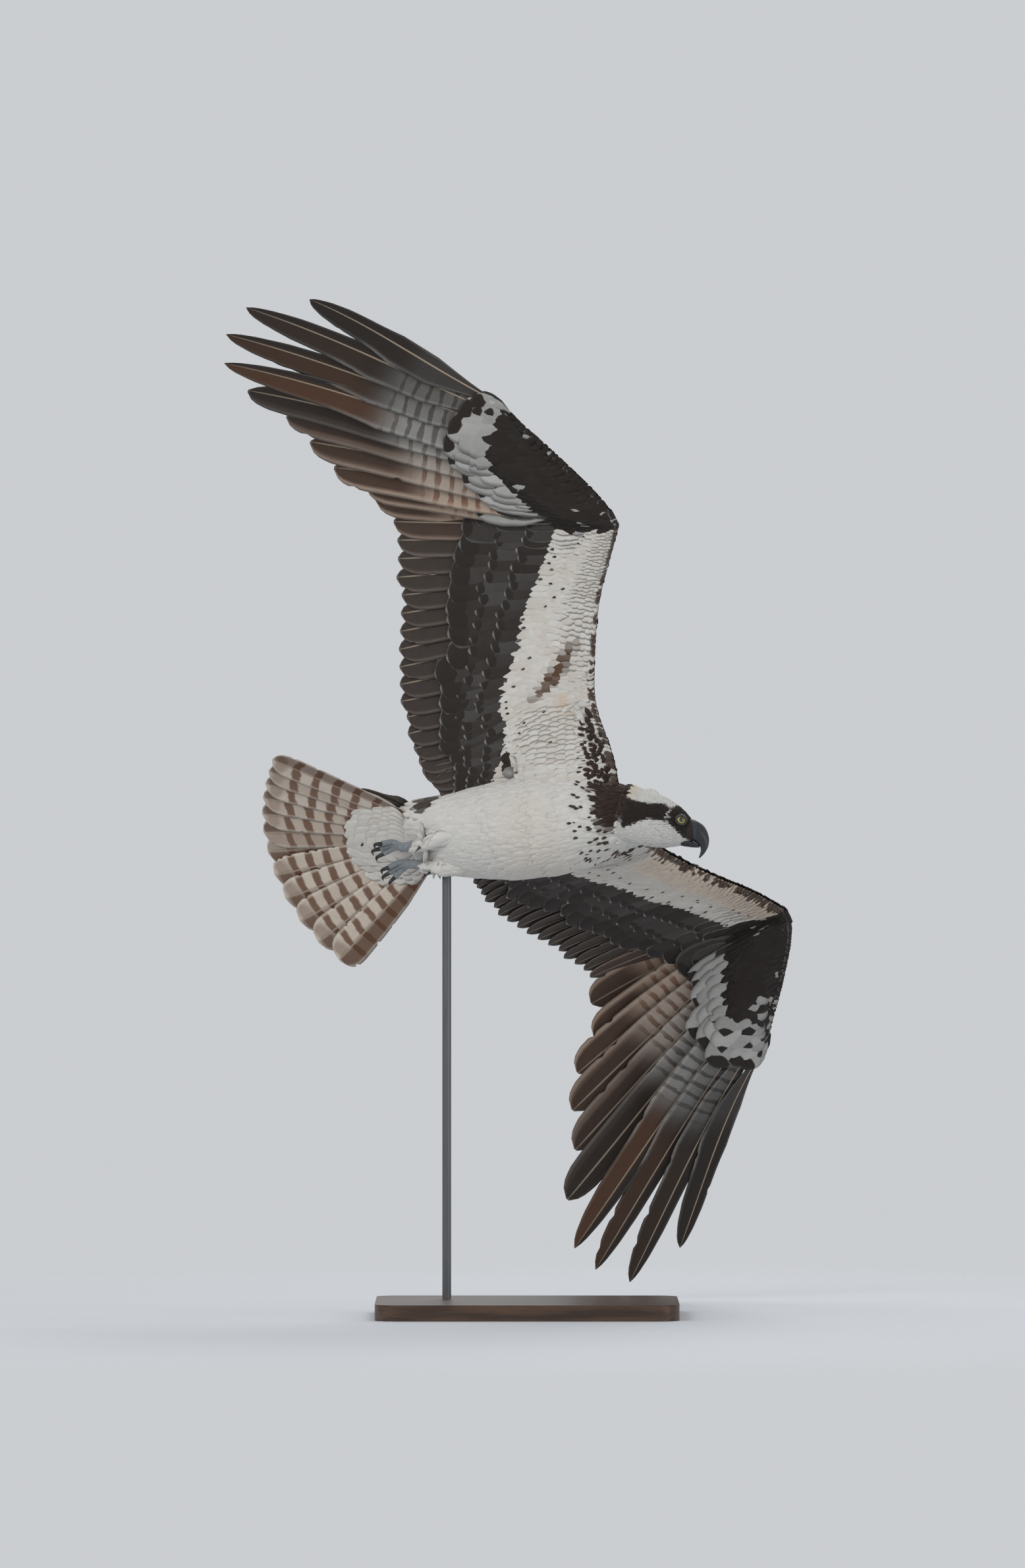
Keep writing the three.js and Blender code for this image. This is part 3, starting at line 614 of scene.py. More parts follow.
def head_marks(points):
    """Dark and warm, each 0 to 1, at places in the head's frame."""
    x, y, z = points.T
    low = np.interp(x, *np.array(MASK_LOW).T)
    high = np.interp(x, *np.array(MASK_HIGH).T)
    dark = smooth(-1.2, 1.2, z - low) * smooth(-1.5, 1.5, high - z)
    from_eye = np.hypot(x - EYE[0], z - EYE[2])
    behind = smooth(2, 7, EYE[0] - x + 0.4 * (EYE[2] - z))
    crescent = smooth(9.8, 10.6, from_eye) * smooth(12.8, 12.0, from_eye) * behind
    dark = dark * (1 - 0.75 * crescent)
    under = (np.abs(y) < 9) & (z < np.interp(x, [20, 27], [-10, -21]))
    dark = np.where(under, 0.04, dark)
    dark = np.maximum(dark * 0.97, 0.03)
    nape = smooth(-16, -30, x) * smooth(4, 14, z)
    return dark, 0.35 * nape


def body_marks(points, up):
    """Dark and warm at places in the bird's frame, behind the head, whose skin faces up."""
    x, y, z = points.T
    right = np.interp(x, [70, 92, 101, 107, 112, 150], [20, 16, 8, -12, -34, -38])
    left = np.interp(x, [70, 95, 110, 122, 150], [20, 14, 6, -4, -8])
    limit = np.where(y < 0, right, left)
    dark = smooth(-3, 3, z - limit)
    dark = lerp(dark, smooth(0.4, 0.6, up[:, 2]), smooth(-75, -125, x))
    dark = np.where((np.abs(y) > 44) & (x < 95), dark * smooth(-0.15, 0.15, up[:, 2]), dark)
    flank = smooth(18, 10, np.linalg.norm(points - [-93, -51, -1], axis=-1))
    stain = smooth(60, 10, np.hypot(x - 40, z + 50)) * 0.12
    return np.clip(np.maximum(dark * 0.95, 0.8 * flank), 0.02, 1), 0.05 + stain


def is_head(points):
    return bird_to_head(points)[:, 0] > -32


def plain_marks(points, up):
    """The markings of the whole body without the wings."""
    dark, warm = body_marks(points, up)
    on_head = is_head(points)
    head_dark, head_warm = head_marks(bird_to_head(points))
    return np.where(on_head, head_dark, dark), np.where(on_head, head_warm, warm)


cheek, forehead = head_marks(np.array([[0, 28, -20.0], [10, 10, 30.0]]))[0]
eye_band = head_marks(np.array([[0, 28, 2.0]]))[0]
print("dark of the cheek, forehead and eye band:", cheek.round(2), forehead.round(2), eye_band.round(2))

# %% [markdown]
# ## Skin
# One closed skin carries the small feathers. It could be sculpted by hand. Here it is made of simple
# lofted parts, because they take their sizes from the same numbers as the solids: body and neck, skull,
# wings, thighs and the root of the tail. They are melted together by a voxel remesh and smoothed, so that
# no seam shows where they meet. The skin lies some millimetres inside the solids, by the depth of the
# coat.

# %% Parts of the flesh
BODY = [[-158, 6, 30, 9, 12], [-145, 5, 41, 14, 20], [-120, 3, 50, 22, 32], [-85, 0, 54, 34, 45],
        [-40, 0, 59, 44, 55], [0, 1, 61, 48, 60], [40, 3, 60, 48, 60], [72, 5, 56, 45, 56],
        [98, 5, 48, 40, 50], [122, 3, 39, 35, 43], [142, 0, 34, 32, 37], [162, -3, 30, 29, 32]]
SKULL = [[-42, 0, 31, 30, 33], [-30, -1, 31, 30, 34], [-15, -2, 30, 29.5, 33], [0, -3, 28.5, 28.5, 31],
         [13, -4, 25.5, 25, 27.5], [24, -5, 21, 20.5, 22.5], [33, -6, 15.5, 15, 17.5],
         [40, -7, 11, 11.5, 13]]
LEG = [[-34, 25, -27], [-74, 21, -43], [-106, 15, -38], [-134, 11.5, -33]]
LEG_RADII = [16, 12, 6.6, 5.2]
TAIL_FLESH = [[-120, 4, 42, 12, 20], [-150, 6, 40, 8, 14], [-176, 7, 34, 4, 6], [-188, 7, 24, 2, 2.5]]
THIGH_SHIFT = [[0, 0, 6], [0, 0, 7], [-2, 0, 0]]
COAT_DEPTH = {"body": 4, "head": 2.2, "tail": 1.5}
print("the body is drawn through", len(BODY), "stations and the skull through", len(SKULL))


# %% Flesh
def lofted(stations, depth, count=60, sides=48):
    """Rings through stations of [x, z, half width, rise, fall], each drawn in by the coat's depth."""
    stations = np.array(stations, float)
    t = np.linspace(0, 1, count)
    middle = spline(np.c_[stations[:, 0], 0 * stations[:, 0], stations[:, 1]], t)
    width, rise, fall = spline(stations[:, 2:], t).T - depth
    right, up = np.tile([0, 1.0, 0], (count, 1)), np.tile([0, 0, 1.0], (count, 1))
    return tube(middle, right, up, width, rise, fall, sides)


def wing_flesh(name):
    """The arm and hand of one wing as a flat tube, blunt in front and thin behind."""
    arm = arm_place(name, np.linspace(0, 1, 30))
    hand = hand_place(name, np.linspace(0, 1, 22)[1:])
    edge, back, up, chord, thick = (np.concatenate([a, b]) for a, b in zip(arm, hand))
    sides = 28
    angle = 2 * np.pi * (np.arange(sides) + 0.5) / sides
    share = (1 - np.cos(angle)) / 2
    shape = np.sin(angle) * (0.3 + 0.7 * (1 - share) ** 0.6) / 2
    depth = np.minimum(2.5, thick * 0.15)
    kept = np.minimum(chord - 2 * depth, 50 + 0.4 * chord)
    inner = edge[:, None] + back[:, None] * (depth[:, None] + share * kept[:, None])[..., None]
    rings = inner + up[:, None] * (shape * (thick - depth * 2)[:, None])[..., None]
    return closed(rings)


def thigh(side):
    points = np.array(LEG[:3]) * [1, side, 1] + THIGH_SHIFT
    return limb(points, np.array(LEG_RADII[:3]) - [6, 5, 0.6], 24)


skull_points, skull_faces = lofted(SKULL, COAT_DEPTH["head"])
flesh = [lofted(BODY, COAT_DEPTH["body"]), (head_to_bird(skull_points), skull_faces)]
flesh.append(lofted(TAIL_FLESH, COAT_DEPTH["tail"], 30))
flesh += [wing_flesh(name) for name in SIDES]
flesh += [thigh(side) for side in SIDES.values()]
flesh_points, flesh_faces = joined(flesh)
print("flesh:", len(flesh), "parts,", len(flesh_points), "points")

# %% Skin over the flesh
VOXEL = 0.0024
SMOOTHING = 6
WING_SKIN_DARK = 0.93
WING_SKIN_PALE = 0.05
FLESH_NODES = ["torso", "neck", "head", "wing_arm_right", "wing_arm_left", "leg_right", "leg_left"]


def melted(name, points, faces, voxel, rounds):
    """The parts as one smooth surface: its points, normals and faces."""
    mesh = bpy.data.meshes.new(name)
    mesh.from_pydata(points.tolist(), [], faces.tolist())
    rough = bpy.data.objects.new(name, mesh)
    bpy.context.scene.collection.objects.link(rough)
    remesh = rough.modifiers.new("melt", "REMESH")
    remesh.mode = "VOXEL"
    remesh.voxel_size = voxel
    relax = rough.modifiers.new("relax", "SMOOTH")
    relax.iterations = rounds
    graph = bpy.context.evaluated_depsgraph_get()
    result = rough.evaluated_get(graph).to_mesh()
    count = len(result.vertices)
    places, normals = np.empty(count * 3), np.empty(count * 3)
    result.vertices.foreach_get("co", places)
    result.vertices.foreach_get("normal", normals)
    corners = np.empty(len(result.loops), np.int32)
    result.loops.foreach_get("vertex_index", corners)
    quads = corners.reshape(-1, 4)
    bpy.data.objects.remove(rough)
    return places.reshape(-1, 3), normals.reshape(-1, 3), quads


melt = melted("flesh", to_world(flesh_points), flesh_faces, VOXEL, SMOOTHING)
skin_points, skin_normals, skin_quads = melt
skin_bird = to_bird(skin_points)
skin_up = skin_normals @ BANK
on_wing = (np.abs(skin_bird[:, 1]) > 60) & (skin_bird[:, 2] > 22)
skin_dark, skin_warm = plain_marks(skin_bird, skin_up)
past_wrist = np.abs(skin_bird[:, 1]) > 270
wing_dark = np.where((skin_up[:, 2] > 0.1) | past_wrist, WING_SKIN_DARK, WING_SKIN_PALE)
skin_dark = np.where(on_wing, wing_dark, skin_dark)
skin_mark = np.stack([skin_dark, skin_warm, 0 * skin_dark, 0 * skin_dark], -1)
new_piece("skin", skin_points, skin_quads, skin_material, FLESH_NODES, {"mark": skin_mark})
print("skin:", len(skin_points), "points")

# %% [markdown]
# ## One way to lay feathers
# A feather is a thin vane bent along a line, wider in its middle, with its own profile for the tip. It
# has two faces that meet in its long edges, so it is thick at the shaft and thin at the rim. Every
# feather of the bird, from a primary to the down of the face, is laid by this one function, on arrays of
# lines. Hair curves would be quicker to comb, but they hold no vane to paint.

# %% Feather profiles
BROAD = [[0, 0.12], [0.12, 0.3], [0.3, 0.75], [0.45, 0.93], [0.6, 1], [0.86, 0.98], [0.92, 0.9],
         [0.96, 0.7], [0.985, 0.45], [1, 0.1]]
PADDLE = [[0, 0.4], [0.3, 0.75], [0.6, 0.92], [0.85, 1], [0.9, 0.96], [0.94, 0.85], [0.97, 0.66],
          [0.99, 0.4], [1, 0.08]]
FINGER = [[0, 0.15], [0.12, 0.45], [0.3, 0.97], [0.5, 1.05], [0.56, 0.94], [0.62, 0.86], [0.8, 0.76],
          [0.9, 0.58], [0.96, 0.36], [0.985, 0.2], [1, 0.03]]
COVERT = [[0, 0.25], [0.3, 0.8], [0.6, 1], [0.82, 0.93], [0.93, 0.7], [0.98, 0.4], [1, 0.08]]
SMALL = [[0, 0.3], [0.4, 0.9], [0.65, 1], [0.85, 0.8], [0.95, 0.5], [1, 0.1]]
print("profiles of a vane's width from root to tip:", len([BROAD, PADDLE, FINGER, COVERT, SMALL]))


# %% Grid of one vane
def vane_grid(stations, columns, solid_back):
    """Each point's place along and across one feather, the side it is on, and the quads between points."""
    back_columns = columns if solid_back else 1
    along, across, face, index = [], [], [], {}
    for k in range(stations + 1):
        for j in range(columns + 1):
            index[k, j, 1] = len(along)
            along.append(k / stations)
            across.append(2 * j / columns - 1)
            face.append(0 if j in (0, columns) else 1)
        for j in range(1, back_columns):
            index[k, j, -1] = len(along)
            along.append(k / stations)
            across.append(2 * j / columns - 1)
            face.append(-1)
        index[k, 0, -1] = index[k, 0, 1]
        index[k, back_columns, -1] = index[k, columns, 1]
    quads = []
    for k in range(stations):
        for j in range(columns):
            quads.append([index[k, j, 1], index[k, j + 1, 1], index[k + 1, j + 1, 1], index[k + 1, j, 1]])
        for j in range(back_columns):
            far = [index[k + 1, j, -1], index[k + 1, j + 1, -1]]
            quads.append([index[k, j, -1], *far, index[k, j + 1, -1]])
    return np.array(along), np.array(across), np.array(face), np.array(quads)


print("points and quads of a small vane:", [len(part) for part in vane_grid(6, 4, False)[2:]])


# %% Laying feathers
def lay(lines, profile, stations, columns, solid_back=True, thickness=0.5, camber=0.06, ragged=0.0, seed=1):
    """Feathers along lines, which hold root, tip, root_up, tip_up, width, rise, share, slope, side and bow.

    Share is the part of the width before the shaft. It returns points in bird millimetres, faces, each
    point's place on its feather and the face it is on."""
    along, across, face, quads = vane_grid(stations, columns, solid_back)
    count, size = len(lines["root"]), len(along)
    random = np.random.default_rng(seed)
    col = lambda key: np.broadcast_to(np.asarray(lines[key], float), (count,))[:, None]
    t = along[None, :]
    root, tip = lines["root"][:, None], lines["tip"][:, None]
    up = unit(lerp(lines["root_up"][:, None], lines["tip_up"][:, None], t[..., None]))
    way = unit(tip - root + up * (col("rise") * 4 * (1 - 2 * t))[..., None])
    right = unit(np.cross(way, up)) * col("side")[..., None]
    wide = np.interp(along, *np.array(profile).T)[None, :] * col("width")
    if ragged:
        knots = np.linspace(0, 1, stations + 1)
        dents = np.where(random.random((count, 2, stations + 1)) > 0.95, ragged * random.random(), 0)
        slot = np.rint(along * stations).astype(int)
        which = (across < 0).astype(int)
        dent = dents[:, which, slot] * smooth(0.35, 0.7, knots[slot])[None, :]
        wide = wide * (1 - dent * (np.abs(across) > 0.99)[None, :])
    share = col("share")
    reach = across[None, :] * wide * np.where(across > 0, share, 1 - share)
    lift = col("rise") * 4 * t * (1 - t)
    bow = -camber * wide * across[None, :] ** 2 * col("bow")
    half = thickness * (1 - 0.75 * np.abs(across[None, :])) * (1 - 0.6 * t) / 2
    height = lift + bow + reach * col("slope") + half * face[None, :]
    points = lerp(root, tip, t[..., None]) + right * reach[..., None] + up * height[..., None]
    faces = (quads[None] + (np.arange(count) * size)[:, None, None]).reshape(-1, 4)
    if lines["side"] < 0:
        faces = faces[:, ::-1]
    span = np.linalg.norm(lines["tip"] - lines["root"], axis=-1)[:, None]
    vane = np.stack(np.broadcast_arrays(across[None, :], t, span), -1)
    return points.reshape(-1, 3), faces, vane, face


print("feathers bend along lines from root to tip, in bird millimetres")


# %% What the feathers of a piece carry
def strips(count, vane, columns=1, low=(0, 0), high=(1, 1)):
    """Bake places where each feather has its own strip, in rows of the given number of columns."""
    rows = math.ceil(count / columns)
    i = np.arange(count)
    size = np.array([(high[0] - low[0]) / columns, (high[1] - low[1]) / rows])
    corner = np.stack([i % columns, i // columns], -1) * size + low
    inside = np.stack([vane[..., 1], (vane[..., 0] + 1) / 2], -1) * 0.86 + 0.07
    return (corner[:, None] + inside * size).reshape(-1, 2)


def patches(places, vane, size=0.003):
    """Bake places where each tuft is a small patch at its root's place on the skin's unwrap."""
    inside = np.stack([vane[..., 0] / 2, vane[..., 1] - 0.5], -1) * size
    return (places[:, None] * 0.98 + 0.01 + inside).reshape(-1, 2)


def numbers_of(vane, mark, rim, gap, number):
    """What the feather paint reads at each point: dark, warm, bars and spot, then rim, gap and number."""
    mark = np.broadcast_to(mark, vane.shape[:2] + (4,))
    kind = np.stack(np.broadcast_arrays(rim, gap, number, vane[..., 0])[:3], -1)
    return {"vane": vane.reshape(-1, 3), "mark": mark.reshape(-1, 4), "kind": kind.reshape(-1, 3)}


def feather_piece(label, parts, replaced=()):
    """One piece from several parts, each (points in bird millimetres, faces, numbers, bake)."""
    points, faces = joined([part[:2] for part in parts])
    numbers = {key: np.concatenate([part[2][key] for part in parts]) for key in parts[0][2]}
    bake = np.concatenate([part[3] for part in parts])
    new_piece(label, to_world(points), faces, feather_material, replaced, numbers, bake)
    print(label + ":", len(faces), "faces")


print("every feather carries vane, mark and kind, and a place for its bake")

# %% [markdown]
# ## Flight feathers
# Ten primaries and twenty secondaries a wing, which overlap like the slats of a fan. The outer primaries
# are cut away to fingers. Below they are pale at the base with brown bars and dark towards the tip, and
# above they are plain dark brown. The wing could be one sheet with painted feathers, but its notched
# outline and the shadows between the vanes need each feather to be a body of its own. A shaft runs down
# the middle as a slim rod.


# %% Shafts
def shafts(lines, radius, dark, warm, number):
    """A tapering rod along each feather, showing on both faces, as one part."""
    count, steps, sides = len(lines["root"]), 26, 5
    t = np.linspace(0, 0.97, steps)[None, :]
    up = unit(lerp(lines["root_up"][:, None], lines["tip_up"][:, None], t[..., None]))
    rise = np.broadcast_to(lines["rise"], (count,))[:, None]
    root, tip = lines["root"][:, None], lines["tip"][:, None]
    middle = lerp(root, tip, t[..., None]) + up * (rise * 4 * t * (1 - t))[..., None]
    right = unit(np.cross(tip - root, up))
    angle = 2 * np.pi * np.arange(sides) / sides
    thick = (radius * (1 - 0.85 * t))[..., None, None]
    ring = right[:, :, None] * np.cos(angle)[:, None] + up[:, :, None] * np.sin(angle)[:, None]
    points = middle[:, :, None] + ring * thick
    faces = ring_faces(steps, sides)[:, ::-1]
    faces = (faces[None] + (np.arange(count) * steps * sides)[:, None, None]).reshape(-1, 4)
    vane = np.zeros((count, steps, sides, 3))
    vane[..., 1] = t[..., None]
    vane[..., 2] = 100
    vane = vane.reshape(count, -1, 3)
    bake = 0.985 + vane.reshape(-1, 3)[:, :2] * 0.01
    return points.reshape(-1, 3), faces, numbers_of(vane, [dark, warm, 0, 0], 0, 24, number), bake


print("points of one wing's shafts:", len(shafts(wings["left"], 1.1, 0.3, 0.5, 0)[0]))


# %% Markings of the flight feathers
def flight_marks(w, vane, face):
    """Dark, warm, bars and spot for the flight feathers: w from 0 at the body to LINES - 1."""
    across, t = vane[..., 0], vane[..., 1]
    by_line = lambda places, values: np.interp(w, places, values)[:, None]
    start = by_line([0, 19, 20, 23, 25, 29], [0.5, 0.6, 0.72, 0.64, 0.54, 0.4])
    club = smooth(-0.08, 0.08, t - start)
    inner = by_line([0, 19, 22, 24, 26], [-0.95, -0.9, -0.86, -0.72, -0.62])
    middle = smooth(0, 0.2, across - inner)
    kept = by_line([0, 17, 19, 20, 22, 24, 25, 26], [0.95, 0.9, 0.5, 0.1, 0.2, 0.6, 0.85, 1])
    base = by_line([0, 8, 14, 18, 20, 22, 24, 26, 28, 29],
                   [0.76, 0.74, 0.64, 0.52, 0.34, 0.3, 0.34, 0.42, 0.62, 0.8])
    deep = by_line([0, 19, 20, 22, 25, 29], [0.84, 0.84, 0.8, 0.84, 0.9, 0.92])
    dark = lerp(base, deep, club * lerp(kept, 1, middle))
    bars = by_line([0, 12, 18, 20, 23, 26, 28, 29], [0.9, 0.86, 0.78, 0.66, 0.66, 0.64, 0.76, 0.8])
    bars = bars * (1 - 0.2 * club) * lerp(by_line([0, 18, 20, 23, 26], [1, 1, 0.55, 0.7, 1]), 1, middle)
    # Painted light: the warm buff and rust tint of the flight feathers below is a painted glow of light
    # shining through the vanes, strongest on the inner primaries and on the fingers' inner vanes.
    painted_glow = by_line([0, 12, 18, 20, 22, 24, 25, 26, 27, 28, 29],
                   [0.1, 0.08, 0.12, 0.5, 0.45, 0.2, 0.05, 0.2, 0.11, 0.04, 0.0])
    finger = smooth(0.4, 0.6, t) * smooth(0.5, -0.2, across)
    warm = painted_glow * np.where((w > 25.5)[:, None], finger, 1 - 0.7 * club * middle)
    edge = smooth(0.4, 0.5, t) * smooth(0.7, 0.6, t) * smooth(-0.8, -0.95, across) * (w > 25.5)[:, None]
    dark = dark * (1 - 0.5 * edge)
    above = face[None, :] > 0
    dark = np.where(above, 0.95, dark)
    bars = np.where(above, 0.97, bars)
    warm = np.where(above, 0.06, warm)
    return np.stack([np.clip(dark, 0, 1), warm, bars, 0 * dark], -1)


middle_vane = np.array([[[0.0, 0.5, 100.0]]])
seen = flight_marks(np.array([9.0]), middle_vane, np.array([-1])).round(2)
print("dark, warm, bars and spot of a secondary:", seen)

# %% Flight feathers
# For broad vanes and for fingers: profile, share of the width before the shaft, and first and last bake row.
FINGERS = 4
VANES = {False: (BROAD, 0.4, 0, 0.84), True: (FINGER, 0.34, 0.84, 0.97)}
FLIGHT = {"stations": 46, "columns": 12, "thickness": 0.9, "camber": 0.03, "ragged": 0.22}
FLIGHT_RIM, FLIGHT_BARS = 0.22, 16
WORN = 0.035

for name, side in SIDES.items():
    w = np.arange(LINES, dtype=float)
    parts = []
    for is_finger, (profile, share, low, high) in VANES.items():
        chosen = (w >= LINES - FINGERS) == is_finger
        lines = {key: values[chosen] for key, values in wings[name].items()}
        lines |= {"share": share, "slope": 0.075, "side": side, "bow": 1}
        worn = np.random.default_rng(3).random(chosen.sum())[:, None] * (w[chosen] < 22)[:, None]
        lines["tip"] = lerp(lines["tip"], lines["root"], WORN * worn)
        points, faces, vane, face = lay(lines, profile, **FLIGHT, seed=11 + side)
        marks = flight_marks(w[chosen], vane, face)
        numbers = numbers_of(vane, marks, FLIGHT_RIM, FLIGHT_BARS, w[chosen][:, None] * 3.7)
        parts.append((points, faces, numbers, strips(chosen.sum(), vane, 1, (0, low), (1, high))))
        parts.append(shafts(lines, 1.1, 0.3, 0.5, 0))
    feather_piece("flight_feathers_" + name, parts, ["wing_hand_" + name])

# %% [markdown]
# ## Coverts
# Rows of smaller feathers cover the roots of the flight feathers and the whole flesh of the wing, above
# and below, each row lying over the one behind it. Below, the arm's small coverts are white, the wrist's
# are black brown, the greater coverts of the arm are dark and round with pale rims, and those of the hand
# are pale with a dark spot at the tip. They could be scattered like the body's feathers, but real coverts
# stand in rows that follow the flight feathers, so each row is laid at a set distance behind the wing's
# leading edge.

# %% Rows of coverts
WHITE_EDGE = [[0, 150], [2, 150], [5, 108], [8, 116], [10, 100], [12, 93], [15, 81], [19, 74],
              [20, 92], [22, 108], [23.6, 116], [25.4, 112], [27.2, 58], [28.2, 20], [29, 12]]
GREATER_EDGE = [[0, 192], [2, 188], [9, 186], [11, 180], [15, 184], [19, 180], [20.5, 160],
                [22.4, 152], [24, 168], [25, 163], [26, 141], [27, 108], [28, 62], [29, 34]]
LESSER_ROWS = 12
STREAKS, LESSER, MEDIAN, GREATER = range(4)
LARGE_ROWS = [(1, 72, 30, GREATER), (0.66, 50, 38, MEDIAN), (0.33, 40, 46, MEDIAN)]


def covert_rows(face):
    """Each row's tips along the wing, the length of its feathers, how many there are and its kind."""
    w = np.linspace(0, LINES - 1, 200)
    white = np.interp(w, *np.array(WHITE_EDGE).T)
    greater = np.interp(w, *np.array(GREATER_EDGE).T)
    if face > 0:
        greater = greater * 0.86
        white = np.minimum(white, greater * 0.8)
    rows = []
    if face < 0:
        rows.append((w, white, 9, 34, STREAKS))
    for share, length, count, kind in LARGE_ROWS:
        rows.append((w, lerp(white, greater, share), length, count, kind))
    for r in range(LESSER_ROWS):
        share = 1 - r / LESSER_ROWS
        rows.append((w, white * share ** 1.15, lerp(11, 30, share), int(lerp(110, 70, share)), LESSER))
    return rows


print("rows of coverts below and above:", len(covert_rows(-1)), len(covert_rows(1)))


# %% Markings of the coverts
WRIST_START = 18.7
HAND_START = 22


def covert_marks(name, face, kind, w, d, random):
    """Dark, warm, bars and spot for each feather of one row, and the strength of its rim."""
    count = len(w)
    past_arm = w > WRIST_START
    on_hand = w > HAND_START
    chance = random.random(count)
    tone = random.random(count)
    dark, warm, spot, rim = (np.zeros(count) for _ in range(4))
    if face > 0:
        dark, rim = 0.93 + 0.04 * tone, 0.22 + 0.1 * tone
    elif kind == STREAKS:
        dark = 0.6 + 0.25 * tone
    elif kind == GREATER:
        dark = np.where(w > 20.6, 0.22 + 0.1 * tone, 0.8 + 0.1 * tone)
        spot = np.where(w > 18, 15 + 3 * tone, 26)
        rim = np.where(w > 20.6, 0.12, 0.3 + 0.2 * tone)
    elif kind == MEDIAN:
        dark = np.where(on_hand, 0.2 + 0.12 * tone, 0.74 + 0.18 * tone)
        spot = np.where(on_hand, np.where(chance < 0.5, 9 + 4 * tone, 0), 12)
        rim = np.where(on_hand, 0.1, 0.3 + 0.25 * tone)
    else:
        width = {"right": np.interp(w, [0, 3, 6, 19], [30, 20, 8, 9]), "left": 19}[name]
        front = smooth(width, width * 0.5, d)
        edged = chance < 0.85 * front
        dark = np.where(edged, 0.7 + 0.2 * tone, 0.03 + 0.05 * tone)
        rim = np.where(edged, 0.3, 0)
        pale = (chance < 0.02) | ((name == "left") & (w > 26) & (chance < 0.3))
        dark = np.where(past_arm, np.where(pale, 0.3, 0.9 + 0.06 * tone), dark)
        warm = (0.08 + 0.12 * tone) * ~past_arm
        if name == "right":
            smudge = smooth(1.1, 0.5, np.hypot((w - 8.6) / 2.4, (d - 55 + (w - 8.6) * 12) / 13))
            tawny = smooth(1.1, 0.3, np.hypot((w - 6) / 1.6, (d - 43) / 12))
            dark = np.maximum(dark, smudge * (0.6 + 0.25 * tone) * ~past_arm)
            warm = np.maximum(warm, 0.5 * tawny + 0.25 * smudge) * ~past_arm
        else:
            warm = np.maximum(warm, 0.45 * smooth(80, 30, d) * smooth(3, 8, w) * ~past_arm * (dark < 0.3))
    return np.stack([dark, warm, 0 * dark, spot], -1), rim


print("the dark of the wrist starts at line", WRIST_START, "and the hand's coverts at line", HAND_START)

# %% One row of coverts
COVERT_FORMS = {
    STREAKS: {"profile": SMALL, "stations": 6, "columns": 2, "lift": 3.0},
    LESSER: {"profile": SMALL, "stations": 8, "columns": 4, "lift": 1.0},
    MEDIAN: {"profile": COVERT, "stations": 11, "columns": 6, "lift": 1.8},
    GREATER: {"profile": COVERT, "stations": 14, "columns": 8, "lift": 2.2},
}
STREAK_WIDTH = 2.6
STREAK_SPAN = 0.64
WIDEST = 46


def covert_row(name, face, row, seed, bake_rows, random):
    """One row of coverts as a part. Its random numbers are drawn in a fixed order."""
    wing, side = wings[name], SIDES[name]
    span, edge, length, count, kind = row
    w = (np.arange(count) + 0.5 + 0.3 * (random.random(count) - 0.5)) / count * (LINES - 1.2)
    d = np.interp(w, span, edge)
    if kind == STREAKS:
        w = w * STREAK_SPAN
        d = np.interp(w, span, edge) * (0.2 + 0.8 * random.random(count) ** 0.5)
    on_hand = w > HAND_START
    reach = length * np.interp(w, [0, 19, 25, 29], [1.15, 1.15, 1.2, 0.6])
    d = np.maximum(d + (random.random(count) - 0.5) * reach * 0.14, np.where(on_hand, 7, 2))
    reach = np.minimum(reach, d)
    form = dict(COVERT_FORMS[kind])
    tip, tip_up = wing_surface(wing, w + (random.random(count) - 0.5) * 0.2, d, face, form.pop("lift"))
    root, root_up = wing_surface(wing, w, np.maximum(d - reach, np.where(on_hand, 2.6, 0.4)), face, -0.4)
    outward = wing_surface(wing, np.minimum(w + 0.5, LINES - 1), d, face, 0)[0]
    inward = wing_surface(wing, np.maximum(w - 0.5, 0), d, face, 0)[0]
    beside = np.linalg.norm(outward - inward, axis=-1)
    width = np.clip(beside * (LINES - 1.2) / count * 2.3, 4.5, WIDEST)
    width = np.minimum(width, np.where(on_hand, 3 + 0.45 * d, WIDEST))
    if kind == STREAKS:
        width = np.full(count, STREAK_WIDTH)
    middle, middle_up = wing_surface(wing, w, d - reach / 2, face, 1.2)
    rise = (((middle - (root + tip) / 2) * middle_up).sum(-1)) * face
    lines = {"root": root, "tip": tip, "root_up": root_up * face, "tip_up": tip_up * face, "width": width}
    lines |= {"rise": rise, "share": 0.5, "slope": 0.05 * face, "side": side * face, "bow": 1}
    form |= {"solid_back": False, "thickness": 0.35, "camber": 0.07, "ragged": 0.25}
    points, faces, vane, _ = lay(lines, **form, seed=seed)
    mark, rim = covert_marks(name, face, kind, w, d, random)
    numbers = numbers_of(vane, mark[:, None], rim[:, None], 14, random.random(count)[:, None] * 90)
    low, high = bake_rows
    return points, faces, numbers, strips(count, vane, count, (0, low), (1, high))


print("forms of coverts:", len(COVERT_FORMS))

# %% Coverts
for name, side in SIDES.items():
    for face, label in ((-1, "under"), (1, "upper")):
        random = np.random.default_rng(31 + 2 * side + face)
        rows = covert_rows(face)
        parts = []
        for r, row in enumerate(rows):
            bake_rows = (r / len(rows), (r + 1) / len(rows))
            parts.append(covert_row(name, face, row, 50 + r, bake_rows, random))
        feather_piece("coverts_" + label + "_" + name, parts)

# %% [markdown]
# ## Tail
# Twelve feathers spread in a fan, the middle pair on top. Below they are buff with dark bars and pale
# tips. One sheet with twelve scallops would give the outline, but not the edge of each vane lying on the
# next, so they are laid one by one, each a little lower than its inner neighbour.

# %% Lines of the tail
TAIL_FEATHERS = 12
TAIL_ROOT = np.array([-132, 0, 4])
TAIL_LENGTH = 203
TAIL_BASE = 38
TAIL_LEAN = 0.15
TAIL_SPREAD = 45
TAIL_WIDTH = 45
TAIL_DROP = 22
TAIL_ARCH = 24
TAIL_STEP = 1.7


